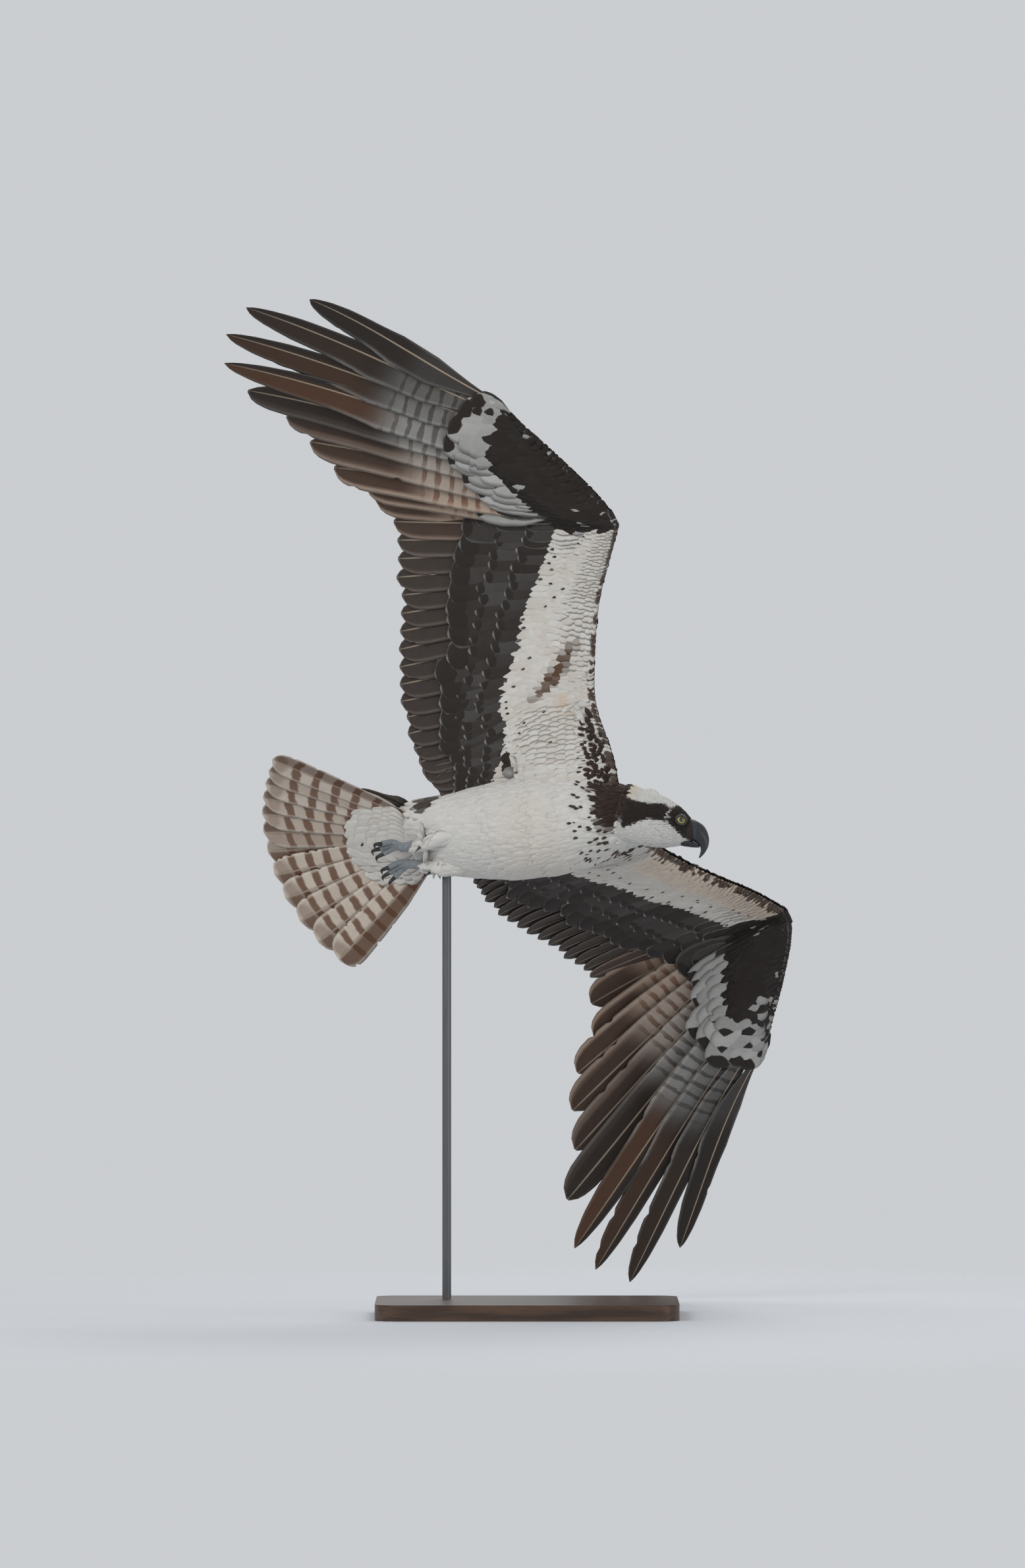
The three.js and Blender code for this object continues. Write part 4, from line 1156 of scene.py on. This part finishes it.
def tail_lines(place, length, width, height):
    """Lines of the tail for places from -1 at its right side to 1 at its left."""
    place = np.asarray(place, float)
    angle = np.radians(TAIL_SPREAD * place)
    up = unit(np.stack([np.full(len(place), 0.08), 0.3 * place, np.ones(len(place))], -1))
    lowered = TAIL_DROP - TAIL_ARCH * place**2
    reach = TAIL_LENGTH * (1 + TAIL_LEAN * place * (1 - 0.6 * place**2))
    tip = np.stack([TAIL_ROOT[0] - reach * np.cos(angle), reach * np.sin(angle), lowered], -1)
    root = TAIL_ROOT + np.stack([np.full(len(place), -6.0), TAIL_BASE * place, 0 * place], -1)
    tip = lerp(root, tip, np.broadcast_to(length / TAIL_LENGTH, place.shape)[:, None])
    raised = up * np.asarray(height)[:, None]
    lines = {"root": root + raised, "tip": tip + raised, "root_up": up, "tip_up": up, "width": width}
    return lines | {"rise": 0, "share": 0.5, "slope": 0, "side": 1, "bow": 1}


order = np.arange(TAIL_FEATHERS)
place = 2 * order / (TAIL_FEATHERS - 1) - 1
is_right = place < 0
pair = np.floor(np.abs(order - (TAIL_FEATHERS - 1) / 2))
height = -TAIL_STEP * (pair + np.where(is_right, 0.95, 0)) * np.where(is_right, 0.95, 1)
lines = tail_lines(place, TAIL_LENGTH, TAIL_WIDTH, height)
print("tail:", TAIL_FEATHERS, "feathers, the lowest", height.min().round(1), "mm under the top")

# %% Tail feathers
points, faces, vane, face = lay(lines, PADDLE, 50, 12, thickness=0.9, camber=0.03, ragged=0.15, seed=5)
across, t = vane[..., 0], vane[..., 1]
above = face[None, :] > 0
outer = smooth(-0.15, 0.15, across * np.sign(place)[:, None])
outmost = smooth(0.8, 1.0, place)[:, None] + 0.3 * smooth(-0.8, -1.0, place)[:, None]
band = smooth(0.84, 0.9, t - 0.05 * across**2) * smooth(0.99, 0.96, t)
tone = np.random.default_rng(8).random(TAIL_FEATHERS)[:, None] - 0.5
inmost = smooth(0.3, 0.05, np.abs(place))[:, None]
dark = lerp(0.1, 0.44, outer) + 0.3 * outmost * outer + 0.16 * tone + 0.22 * inmost
dark = np.maximum(dark, band * lerp(0.32, 0.68, outer))
dark = np.where(above, 0.88, dark)
warm = np.where(above, 0.1, 0.4 - 0.1 * outer)
bars = np.where(above, 0.93, lerp(0.68, 0.9, outer)) * smooth(0.9, 0.86, t)
mark = np.stack([dark, warm, bars, 0 * dark], -1)
bake = strips(TAIL_FEATHERS, vane, 1, (0, 0), (1, 0.8))
tail_parts = [(points, faces, numbers_of(vane, mark, 0.7, 24, 3), bake), shafts(lines, 1.0, 0.35, 0.4, 3)]
print("tail feathers:", len(faces), "faces")

# %% Tail coverts
# Each row's reach, count, width and lift.
TAIL_COVERT_ROWS = [[90, 15, 30, 9.5], [76, 16, 27, 10.5], [60, 15, 26, 12], [44, 15, 26, 13.5],
                    [30, 14, 26, 15]]
BAKE_ROW = 0.017
bottom = -TAIL_STEP * TAIL_FEATHERS / 2
for way, level in ((-1, bottom), (1, 0)):
    for row, (reach, count, width, lift) in enumerate(TAIL_COVERT_ROWS):
        random = np.random.default_rng(row + 20 + 7 * way)
        spot = 2 * np.arange(count) / (count - 1) - 1
        high = level + way * (lift - 5.5) + (6 if way < 0 else 0) * np.abs(spot)
        reach = reach * (1 - 0.2 * np.abs(spot)) + 6 * random.random(count)
        lines = tail_lines(spot * 0.9, reach, width, high)
        lines["tip"] = lines["tip"] - lines["tip_up"] * way * 3.0
        lines |= {"root_up": lines["root_up"] * way, "tip_up": lines["tip_up"] * way}
        points, faces, vane, _ = lay(lines, COVERT, 14, 6, False, 0.35, 0.06, 0.2, row + 3)
        tone = random.random(count)[:, None]
        dark = 0.02 + 0.07 * tone if way < 0 else 0.88 + 0.06 * tone
        warm = 0.12 if way < 0 else 0.05
        mark = np.stack([dark, warm + 0 * dark, 0 * dark, 0 * dark], -1)
        numbers = numbers_of(vane, mark, 0 if way < 0 else 0.3, 20, tone * 40)
        low = 0.8 + BAKE_ROW * (row + (len(TAIL_COVERT_ROWS) if way > 0 else 0))
        bake = strips(count, vane, count, (0, low), (1, low + BAKE_ROW))
        tail_parts.append((points, faces, numbers, bake))
feather_piece("tail_feathers", tail_parts, ["tail"])

# %% [markdown]
# ## Small feathers of the body
# Thousands of small feathers hide the skin, long on the belly and short on the face. They could be placed
# by a scatter tool, but its copies would not be exported. The roots are spread evenly in another way:
# space is cut into small cells and each cell that the skin crosses gives one root. The feathers lie
# backward along the skin.


# %% Roots and unwrap
def scattered(chosen, cell, seed):
    """One skin point for each small cell of space, as indices."""
    places = skin_bird[chosen]
    random = np.random.default_rng(seed)
    order = random.permutation(len(places))
    cells = np.floor(places[order] / cell).astype(int)
    first = np.unique(cells, axis=0, return_index=True)[1]
    return np.flatnonzero(chosen)[order[first]]


def unwrap(points):
    """The skin's own unwrap: place along the body and angle around it."""
    x, y, z = points.T
    u = np.clip((x + 200) / 440, 0, 1)
    v = (np.arctan2(z, y) / (2 * math.pi) + 0.5) % 1
    return np.stack([u, v], -1)


def backward(points):
    """Backward along the body, and on the head backward from the bill."""
    on_head = smooth(-45, -25, bird_to_head(points)[:, 0])[:, None]
    body = np.tile([-1.0, 0, 0], (len(points), 1))
    head = np.tile(-HEAD_TURN[:, 0], (len(points), 1))
    return lerp(body, head, on_head)


head_x = bird_to_head(skin_bird)[:, 0]
skin_x, skin_y, skin_z = skin_bird.T
inner_arm = on_wing & (np.abs(skin_y) < 104) & (skin_x > 0)
arm_pit = (np.abs(skin_y) > 60) & (skin_x < 10)
tail_end = (skin_x < -168) & (np.abs(skin_up[:, 2]) < 0.7)
on_body = (~on_wing | inner_arm) & (head_x < -28) & ~arm_pit & ~tail_end
on_head = ~on_wing & (head_x >= -34) & (head_x < 33.5)
on_breast = on_body & (skin_x > 80) & (skin_x < 118) & (skin_z < 6) & (skin_up[:, 2] < 0.3)
print("skin points of body, head and breast:", on_body.sum(), on_head.sum(), on_breast.sum())


# %% A coat of small feathers
def coat(label, chosen, cell, length, width, lift, seed, rim=0.0, marks=plain_marks):
    """A coat piece: feathers rooted on the chosen skin, whose sizes are functions of the roots."""
    index = scattered(chosen, cell, seed)
    random = np.random.default_rng(seed + 1)
    root, up = skin_bird[index], skin_up[index]
    count = len(index)
    lie = square(backward(root) + 0.16 * (random.random((count, 3)) - 0.5), up)
    reach = length(root) * (0.85 + 0.3 * random.random(count))
    stand = lift(root) * (0.7 + 0.6 * random.random(count))
    bend = unit(up - lie * 0.25)
    lines = {"root": root - up * 0.5, "tip": root + lie * reach[:, None] + up * stand[:, None]}
    lines |= {"root_up": up, "tip_up": bend, "width": width(root), "rise": reach * 0.06, "share": 0.5}
    lines |= {"slope": 0.1 * (random.random(count) - 0.5), "side": 1, "bow": 2.2}
    points, faces, vane, _ = lay(lines, SMALL, 6, 4, False, 0.4, 0.12, 0.35, seed + 2)
    dark, warm = marks(root, up)
    dark = dark + 0.04 * random.random(count)
    mark = np.stack([dark, warm, 0 * dark, 0 * dark], -1)[:, None]
    rims = (rim * (dark > 0.5))[:, None]
    numbers = numbers_of(vane, mark, rims, 14, random.random(count)[:, None] * 50)
    part = (points, faces, numbers, patches(unwrap(root), vane))
    feather_piece(label, [part])


print("roots on the breast:", len(scattered(on_breast, 12.5, 77)))


# %% Sizes of the small feathers
def by_body(places, sizes):
    """Sizes along the body, for the roots' x."""
    return lambda root: np.interp(root[:, 0], places, sizes)


def by_head(places, sizes):
    """Sizes along the head, for the roots' x in the head's frame."""
    return lambda root: np.interp(bird_to_head(root)[:, 0], places, sizes)


def even(size):
    return lambda root: np.full(len(root), size)


def streak_marks(root, up):
    return np.full(len(root), 0.82), np.full(len(root), 0.1)


lengths = by_body([-190, -130, -60, 60, 100, 120, 150], [24, 22, 24, 24, 17, 12, 10])
widths = by_body([-190, -60, 60, 120, 150], [15, 15, 14, 8, 6])
lifts = by_body([-190, 60, 120, 150], [1.6, 1.6, 1.5, 1.4])
face_lengths = by_head([-34, -10, 10, 34], [11, 8, 6, 3.4])
face_widths = by_head([-34, 0, 34], [5, 3.6, 2])
face_lifts = by_head([-34, 0, 34], [1.4, 1.1, 0.6])
print("length of a feather in the middle of the belly:", lengths(np.zeros((1, 3)))[0], "mm")

# %% Small feathers
for name, side in SIDES.items():
    half = on_body & (skin_y * side >= 0)
    coat("body_feathers_" + name, half, 5.0, lengths, widths, lifts, 71 + side, 0.12)
coat("breast_streaks", on_breast, 12.5, even(9.0), even(3.4), even(3.2), 77, 0.0, streak_marks)
coat("head_feathers", on_head, 2.0, face_lengths, face_widths, face_lifts, 81)

# %% [markdown]
# ## Bill
# A hooked bill in two halves of black horn with a blue-grey cere at its base, where the nostrils lie. It
# could be cut from a bent cone, but the hook is thick at the base and sharp below, so each half is lofted
# between the line of its ridge and its cutting edge.

# %% Shape of the bill
UPPER_BILL = [[31, 8.6, 30, -14.4, 11.4], [34, 8.2, 33, -15, 10.6], [40, 7.4, 38.5, -15.8, 9.2],
              [47, 3.9, 43.5, -17.2, 7.5], [53, -2.2, 47, -19, 5.8], [57, -10, 49.6, -21, 4.2],
              [58, -18, 51, -24.4, 3], [56.2, -26, 51.2, -29, 1.8], [52.6, -32.8, 51, -33, 0.7]]
LOWER_BILL = [[28, -14.6, 28, -24.2, 8.0], [31, -15.2, 31, -24.2, 7.4], [37, -15.9, 37, -23.6, 6.2],
              [43, -17.3, 43, -22.8, 4.6], [48.5, -19.6, 48.3, -21.6, 2.2]]
NOSTRIL = np.array([39.5, 8.4, -1.5])


def bill_half(stations, count, sides, sharp):
    """A loft through [ridge x, ridge z, edge x, edge z, half width], narrowed near the ridge by sharp."""
    stations = np.array(stations, float)
    t = np.linspace(0, 1, count)
    zero = 0 * stations[:, 0]
    ridge = spline(np.c_[stations[:, 0], zero, stations[:, 1]], t)
    edge = spline(np.c_[stations[:, 2], zero, stations[:, 3]], t)
    width = sampled(stations[:, 4], t)
    angle = 2 * np.pi * np.arange(sides) / sides
    rise = np.sin(angle)
    wide = np.cos(angle) * (1 - sharp * np.clip(rise, 0, 1) ** 2)
    middle, half = (ridge + edge) / 2, (ridge - edge) / 2
    across = np.array([0, 1.0, 0]) * (width[:, None] * wide)[..., None]
    return closed(middle[:, None] + half[:, None] * rise[:, None] + across)


def carve_nostrils(points):
    """Presses a slit into each side of the cere."""
    shaped = points.copy()
    for side in (-1, 1):
        away = points - NOSTRIL * [1, side, 1]
        slit = np.hypot(away[:, 0] / 2.8, (away[:, 2] + 0.5 * away[:, 0]) / 1.3)
        deep = smooth(1.1, 0.3, slit) * (points[:, 1] * side > 0)
        shaped[:, 1] -= side * 2.2 * deep
    return shaped


top, top_faces = bill_half(UPPER_BILL, 60, 48, 0.25)
under, under_faces = bill_half(LOWER_BILL, 40, 40, 0.0)
print("bill reaches", top[:, 0].max().round(1), "mm forward in the head's frame")

# %% Horn
horn, tree, shader = new_material("bill_horn")
where = node(tree, "ShaderNodeAttribute", attribute_name="horn").outputs["Vector"]
forward, _, upward = node(tree, "ShaderNodeSeparateXYZ", {0: where}).outputs
grain = noise(tree, where, 0.35, 4.0, 0.6)
slant = plus(tree, forward, times(tree, upward, 0.25))
slant = plus(tree, slant, times(tree, grain, 2.0))
cere = times(tree, step(tree, slant, 39.0, 42.5, 1.0, 0.0), step(tree, upward, -16.0, -13.0))
horn_colour = blend_colour(tree, grain, (0.010, 0.011, 0.014, 1), (0.024, 0.026, 0.031, 1))
cere_colour = blend_colour(tree, grain, (0.018, 0.024, 0.032, 1), (0.034, 0.044, 0.056, 1))
tree.links.new(blend_colour(tree, cere, horn_colour, cere_colour), shader.inputs["Base Color"])
tree.links.new(plus(tree, times(tree, cere, 0.22), 0.24), shader.inputs["Roughness"])
tree.links.new(bump(tree, noise(tree, where, 1.6, 3.0, 0.6), 0.0002, 0.5), shader.inputs["Normal"])
print("horn:", len(tree.nodes), "nodes")

# %% Bill
halves = {
    "bill_top": (carve_nostrils(top), top_faces, "bill_upper"),
    "bill_under": (under, under_faces, "bill_lower"),
}
for label, (points, faces, solid) in halves.items():
    places = to_world(head_to_bird(points))
    new_piece(label, places, faces, horn, [solid], {"horn": points})
    print(label + ":", len(faces), "faces")

# %% [markdown]
# ## Eyes
# A glass eye: a yellow iris with fine spokes round a black pupil, under a clear wet dome, with lids
# around it. A real glass eye has the iris painted behind a clear dome. Here one ball carries the iris on
# its surface and a clear coat over it, which looks the same from outside and exports as one plain
# material.

# %% Glass of the eye
glass, tree, shader = new_material("eye_glass")
right, outward, upward = read_numbers(tree, "ball")
radius = calc(tree, "SQRT", plus(tree, times(tree, right, right), times(tree, upward, upward)))
around = calc(tree, "ARCTAN2", upward, right)
spoke_place = node(tree, "ShaderNodeCombineXYZ", {0: around, 1: radius}).outputs[0]
spokes = noise(tree, spoke_place, 9.0, 3.0, 0.7)
iris = blend_colour(tree, spokes, (0.26, 0.2, 0.03, 1), (0.6, 0.5, 0.12, 1))
iris = blend_colour(tree, step(tree, radius, 0.5, 0.74), iris, (0.12, 0.08, 0.015, 1))
pupil = step(tree, radius, 0.4, 0.43)
coloured = blend_colour(tree, pupil, (0.003, 0.003, 0.004, 1), iris)
rim = step(tree, radius, 0.7, 0.78)
coloured = blend_colour(tree, rim, coloured, (0.01, 0.008, 0.008, 1))
tree.links.new(coloured, shader.inputs["Base Color"])
shader.inputs["Roughness"].default_value = 0.04
shader.inputs["Coat Weight"].default_value = 1.0
shader.inputs["Coat Roughness"].default_value = 0.02
print("eye glass:", len(tree.nodes), "nodes")

# %% Skin of the lids
lid_skin, tree, shader = new_material("lid_skin")
where = node(tree, "ShaderNodeTexCoord").outputs["Object"]
wrinkle = noise(tree, where, 2600.0, 3.0, 0.6)
lid_colour = blend_colour(tree, wrinkle, (0.02, 0.018, 0.018, 1), (0.06, 0.055, 0.055, 1))
tree.links.new(lid_colour, shader.inputs["Base Color"])
tree.links.new(bump(tree, wrinkle, 0.0002), shader.inputs["Normal"])
shader.inputs["Roughness"].default_value = 0.55
print("lid skin:", len(tree.nodes), "nodes")

# %% Place of the eyes
SLANT = 0.42
EYE_RADIUS = 6.8
EYE_DEPTH = 0.82
LID_REACH = 7.6


def eye_frame(side):
    """The middle of one eye and its ways forward, outward and up, in the head's frame."""
    middle = np.array(EYE) * [1, side, 1]
    outward = np.array([math.sin(SLANT), side * math.cos(SLANT), 0])
    forward = np.array([math.cos(SLANT), -side * math.sin(SLANT), 0])
    return middle, forward, outward, np.array([0, 0, 1.0])


print("the right eye looks along", eye_frame(-1)[2].round(2), "in the head's frame")


# %% Shape of the ball and the lids
def eyeball(side):
    """The ball's points in the head's frame, its faces, and each point's place on a ball of size 1."""
    middle, forward, outward, upward = eye_frame(side)
    steps, sides = 26, 40
    lat = np.linspace(0.001, np.pi - 0.001, steps)[:, None]
    lon = (2 * np.pi * np.arange(sides) / sides)[None, :]
    outwards = np.cos(lat) * np.ones_like(lon)
    ball = np.stack([np.sin(lat) * np.cos(lon), outwards, np.sin(lat) * np.sin(lon)], -1).reshape(-1, 3)
    frame_of_eye = np.array([forward, outward * EYE_DEPTH, upward]) * EYE_RADIUS
    return middle + ball @ frame_of_eye, ring_faces(steps, sides)[:, ::side], ball


def eyelids(side):
    """A ring of skin round the ball, thicker above than below."""
    middle, forward, outward, upward = eye_frame(side)
    angle = 2 * np.pi * np.arange(48) / 48
    is_above = np.sin(angle) > 0
    wide = 6.1 * np.cos(angle)
    high = np.where(is_above, 4.6, 5.4) * np.sin(angle)
    flat = 1 - (wide / LID_REACH) ** 2 - (high / LID_REACH) ** 2
    out = np.sqrt(np.clip(flat, 0, 1)) * EYE_RADIUS * EYE_DEPTH
    path = middle + forward * wide[:, None] + upward * high[:, None] + outward * (out + 0.3)[:, None]
    way = unit(np.roll(path, -1, 0) - np.roll(path, 1, 0))
    away = unit(path - middle)
    beside = np.cross(way, away) * 1.5
    sides = 10
    turn = 2 * np.pi * np.arange(sides)[:, None] / sides
    thick = np.where(is_above, 1.3, 0.95)[:, None, None]
    rings = path[:, None] + (away[:, None] * np.cos(turn) + beside[:, None] * np.sin(turn)) * thick
    rings = np.concatenate([rings, rings[:1]])
    return rings.reshape(-1, 3), ring_faces(len(rings), sides)


print("points of one ball and its lids:", len(eyeball(-1)[0]), len(eyelids(-1)[0]))

# %% Eyes and lids
for name, side in SIDES.items():
    points, faces, ball = eyeball(side)
    places = to_world(head_to_bird(points))
    new_piece("eyeball_" + name, places, faces, glass, ["eye_" + name], {"ball": ball})
    points, faces = eyelids(side)
    new_piece("eyelid_" + name, to_world(head_to_bird(points)), faces, lid_skin)
print("eyes and lids:", 2 * len(SIDES), "pieces")

# %% [markdown]
# ## Feet
# Blue-grey toes with scaly skin, each ending in a long black claw. The feet are tucked under the tail.
# They could be modelled toe by toe in edit mode. As all eight toes are alike, one loop makes them, each a
# bent limb of two joints with a claw at its end.

# %% Scales of the feet
scale_skin, tree, shader = new_material("foot_scales")
is_claw = read_numbers(tree, "toe")[2]
where = node(tree, "ShaderNodeTexCoord").outputs["Object"]
scales = {"Vector": where, "Scale": 620.0}
cells = node(tree, "ShaderNodeTexVoronoi", scales, feature="DISTANCE_TO_EDGE").outputs[0]
grain = noise(tree, where, 500.0, 3.0, 0.6)
toe_colour = blend_colour(tree, grain, (0.24, 0.27, 0.285, 1), (0.44, 0.47, 0.475, 1))
toe_colour = blend_colour(tree, step(tree, cells, 0.0, 0.12, 0.7, 0.0), toe_colour, (0.09, 0.11, 0.13, 1))
claw_colour = blend_colour(tree, grain, (0.012, 0.012, 0.013, 1), (0.035, 0.033, 0.033, 1))
tree.links.new(blend_colour(tree, is_claw, toe_colour, claw_colour), shader.inputs["Base Color"])
tree.links.new(step(tree, is_claw, 0.0, 1.0, 0.6, 0.25), shader.inputs["Roughness"])
scale_height = times(tree, step(tree, cells, 0.0, 0.2), minus(tree, 1.0, is_claw))
tree.links.new(bump(tree, scale_height, 0.0006), shader.inputs["Normal"])
print("foot scales:", len(tree.nodes), "nodes")

# %% Toes and claws
TOES = [[-0.08, 1], [0.2, 1.1], [0.5, 1], [2.9, 0.8]]
TOE_LENGTH = 25
TOE_RADII = [3.6, 3.42, 3.06]
CLAW = 14
CLAW_RADII = [2.6, 1.8, 0.25]
SHANK_RADII = [5.6, 5.0, 5.4]


def scaly(t):
    return 0.03 * np.sin(t * 60)


def knuckled(t):
    return 0.07 * np.abs(np.sin(t * 17)) - 0.03


def toe_and_claw(palm, side, turn, reach):
    """One toe that leaves the palm at a turn from straight back, and its claw."""
    way = np.array([-math.cos(turn), side * math.sin(turn), 0])
    start = palm + [-4, 0, -2]
    knuckle = start + way * TOE_LENGTH * reach * 0.55 + [0, 0, 3]
    pad = start + way * TOE_LENGTH * reach + [0, 0, -5]
    bend = pad + way * CLAW * 0.45 + [0, 0, -CLAW * 0.4]
    claw_tip = pad + way * CLAW * 0.2 + [0, 0, -CLAW]
    toe = limb([start, knuckle, pad], TOE_RADII, 20, 36, knuckled)
    return toe, limb([pad - way * 1.5 + [0, 0, 0.6], bend, claw_tip], CLAW_RADII, 16, 24)


print("toes a foot:", len(TOES), "with claws", CLAW, "mm long")

# %% Feet
for name, side in SIDES.items():
    palm = np.array(LEG[3]) * [1, side, 1]
    shank = np.array(LEG[2:]) * [1, side, 1] + [[6, 0, 0], [-8, 0, -1]]
    parts = [limb(shank, SHANK_RADII, 24, 30, scaly)]
    claws = [0]
    for turn, reach in TOES:
        parts += toe_and_claw(palm, side, turn, reach)
        claws += [0, 1]
    points, faces = joined(parts)
    is_claw = np.repeat(claws, [len(part[0]) for part in parts])
    numbers = np.stack([0 * is_claw, 0 * is_claw, is_claw], -1)
    numbers = {"toe": numbers}
    new_piece("toes_" + name, to_world(points), faces, scale_skin, ["foot_" + name], numbers)
    print("toes,", name, "foot:", len(faces), "faces")

# %% [markdown]
# ## Stand
# A museum holds a mounted bird on a rod that is fixed in a base. Both keep their CAD shapes, which need
# no finer detail, and get better materials: dark stained wood with a soft sheen, and dark brushed steel.
# Both finishes are noise drawn out along the grain, in place of pictures.

# %% Wood
wood, tree, shader = new_material("stained_wood")
where = node(tree, "ShaderNodeTexCoord").outputs["Object"]
along_grain = {0: where, 1: (3.0, 42.0, 42.0)}
stretched = node(tree, "ShaderNodeVectorMath", along_grain, operation="MULTIPLY").outputs[0]
rings = noise(tree, stretched, 2.2, 5.0, 0.6)
pores = noise(tree, stretched, 22.0, 2.0, 0.7)
ringed = step(tree, rings, 0.35, 0.65)
colour = blend_colour(tree, ringed, (0.035, 0.017, 0.009, 1), (0.095, 0.05, 0.026, 1))
colour = blend_colour(tree, step(tree, pores, 0.55, 0.7, 0.0, 0.5), colour, (0.015, 0.008, 0.005, 1))
tree.links.new(colour, shader.inputs["Base Color"])
tree.links.new(plus(tree, times(tree, pores, 0.2), 0.28), shader.inputs["Roughness"])
tree.links.new(bump(tree, pores, 0.0002, 0.4), shader.inputs["Normal"])
print("stained wood:", len(tree.nodes), "nodes")

# %% Steel, and both on the stand
steel, tree, shader = new_material("dark_steel")
where = node(tree, "ShaderNodeTexCoord").outputs["Object"]
along_rod = {0: where, 1: (900.0, 900.0, 30.0)}
brushed = node(tree, "ShaderNodeVectorMath", along_rod, operation="MULTIPLY").outputs[0]
scratches = noise(tree, brushed, 1.0, 3.0, 0.6)
steel_colour = blend_colour(tree, scratches, (0.09, 0.092, 0.098, 1), (0.2, 0.2, 0.21, 1))
tree.links.new(steel_colour, shader.inputs["Base Color"])
tree.links.new(plus(tree, times(tree, scratches, 0.25), 0.25), shader.inputs["Roughness"])
shader.inputs["Metallic"].default_value = 0.9

for label, material in (("stand_base", wood), ("stand_rod", steel)):
    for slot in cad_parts[label].material_slots:
        slot.material = material
    print(label, "has", material.name)

# %% [markdown]
# ## Stage and light
# A pale floor that fades into a pale surround, so that no horizon cuts through the bird, with large soft
# lamps. A sky picture would light it too, but lamps can be placed. The main one is on the camera's side,
# because the photo shows the bird's underside.

# %% Floor
floor_material, tree, shader = new_material("floor")
where = node(tree, "ShaderNodeTexCoord").outputs["Object"]
away = node(tree, "ShaderNodeVectorMath", {0: where}, operation="LENGTH").outputs["Value"]
grain = noise(tree, where, 6.0, 3.0, 0.5)
floor_colour = blend_colour(tree, grain, (0.60, 0.62, 0.65, 1), (0.64, 0.66, 0.69, 1))
tree.links.new(floor_colour, shader.inputs["Base Color"])
tree.links.new(step(tree, away, 0.35, 1.75, 1.0, 0.0), shader.inputs["Alpha"])
shader.inputs["Roughness"].default_value = 0.8
FLOOR_SIDES = 96
FLOOR_RINGS = 12
angle = 2 * np.pi * np.arange(FLOOR_SIDES) / FLOOR_SIDES
radii = np.linspace(0.02, 1.8, FLOOR_RINGS)[:, None]
disc = np.stack([radii * np.cos(angle), radii * np.sin(angle), 0 * radii * angle], -1).reshape(-1, 3)
mesh = bpy.data.meshes.new("floor")
middle = list(range(FLOOR_SIDES))
mesh.from_pydata(disc.tolist(), [], ring_faces(FLOOR_RINGS, FLOOR_SIDES).tolist() + [middle])
mesh.materials.append(floor_material)
floor = bpy.data.objects.new("floor", mesh)
bpy.context.scene.collection.objects.link(floor)
print("floor:", radii.max().round(2), "m in radius")

# %% Surround and lamps
world = bpy.data.worlds.new("surround")
world.use_nodes = True
surround = world.node_tree.nodes["Background"].inputs
surround["Color"].default_value = (0.745, 0.765, 0.79, 1)
surround["Strength"].default_value = 0.8
bpy.context.scene.world = world
bpy.context.scene.view_settings.view_transform = "Standard"
LOOK_AT = (0, 0, 0.6)


def lamp(name, place, size, power):
    """A round soft lamp that shines at the bird."""
    data = bpy.data.lights.new(name, "AREA")
    data.shape = "DISK"
    data.size = size
    data.energy = power
    made = bpy.data.objects.new(name, data)
    made.location = place
    way = np.array(LOOK_AT) - np.array(place)
    flat = math.hypot(way[0], way[1])
    made.rotation_euler = (math.atan2(flat, -way[2]), 0, math.atan2(way[1], way[0]) - math.pi / 2)
    bpy.context.scene.collection.objects.link(made)
    print(name, "lamp:", power, "watts")


lamp("key", (-1.6, -2.6, 2.1), 1.4, 36)
lamp("fill", (2.4, -1.8, 0.9), 1.8, 10)
lamp("back", (0.8, 2.4, 2.2), 1.6, 30)
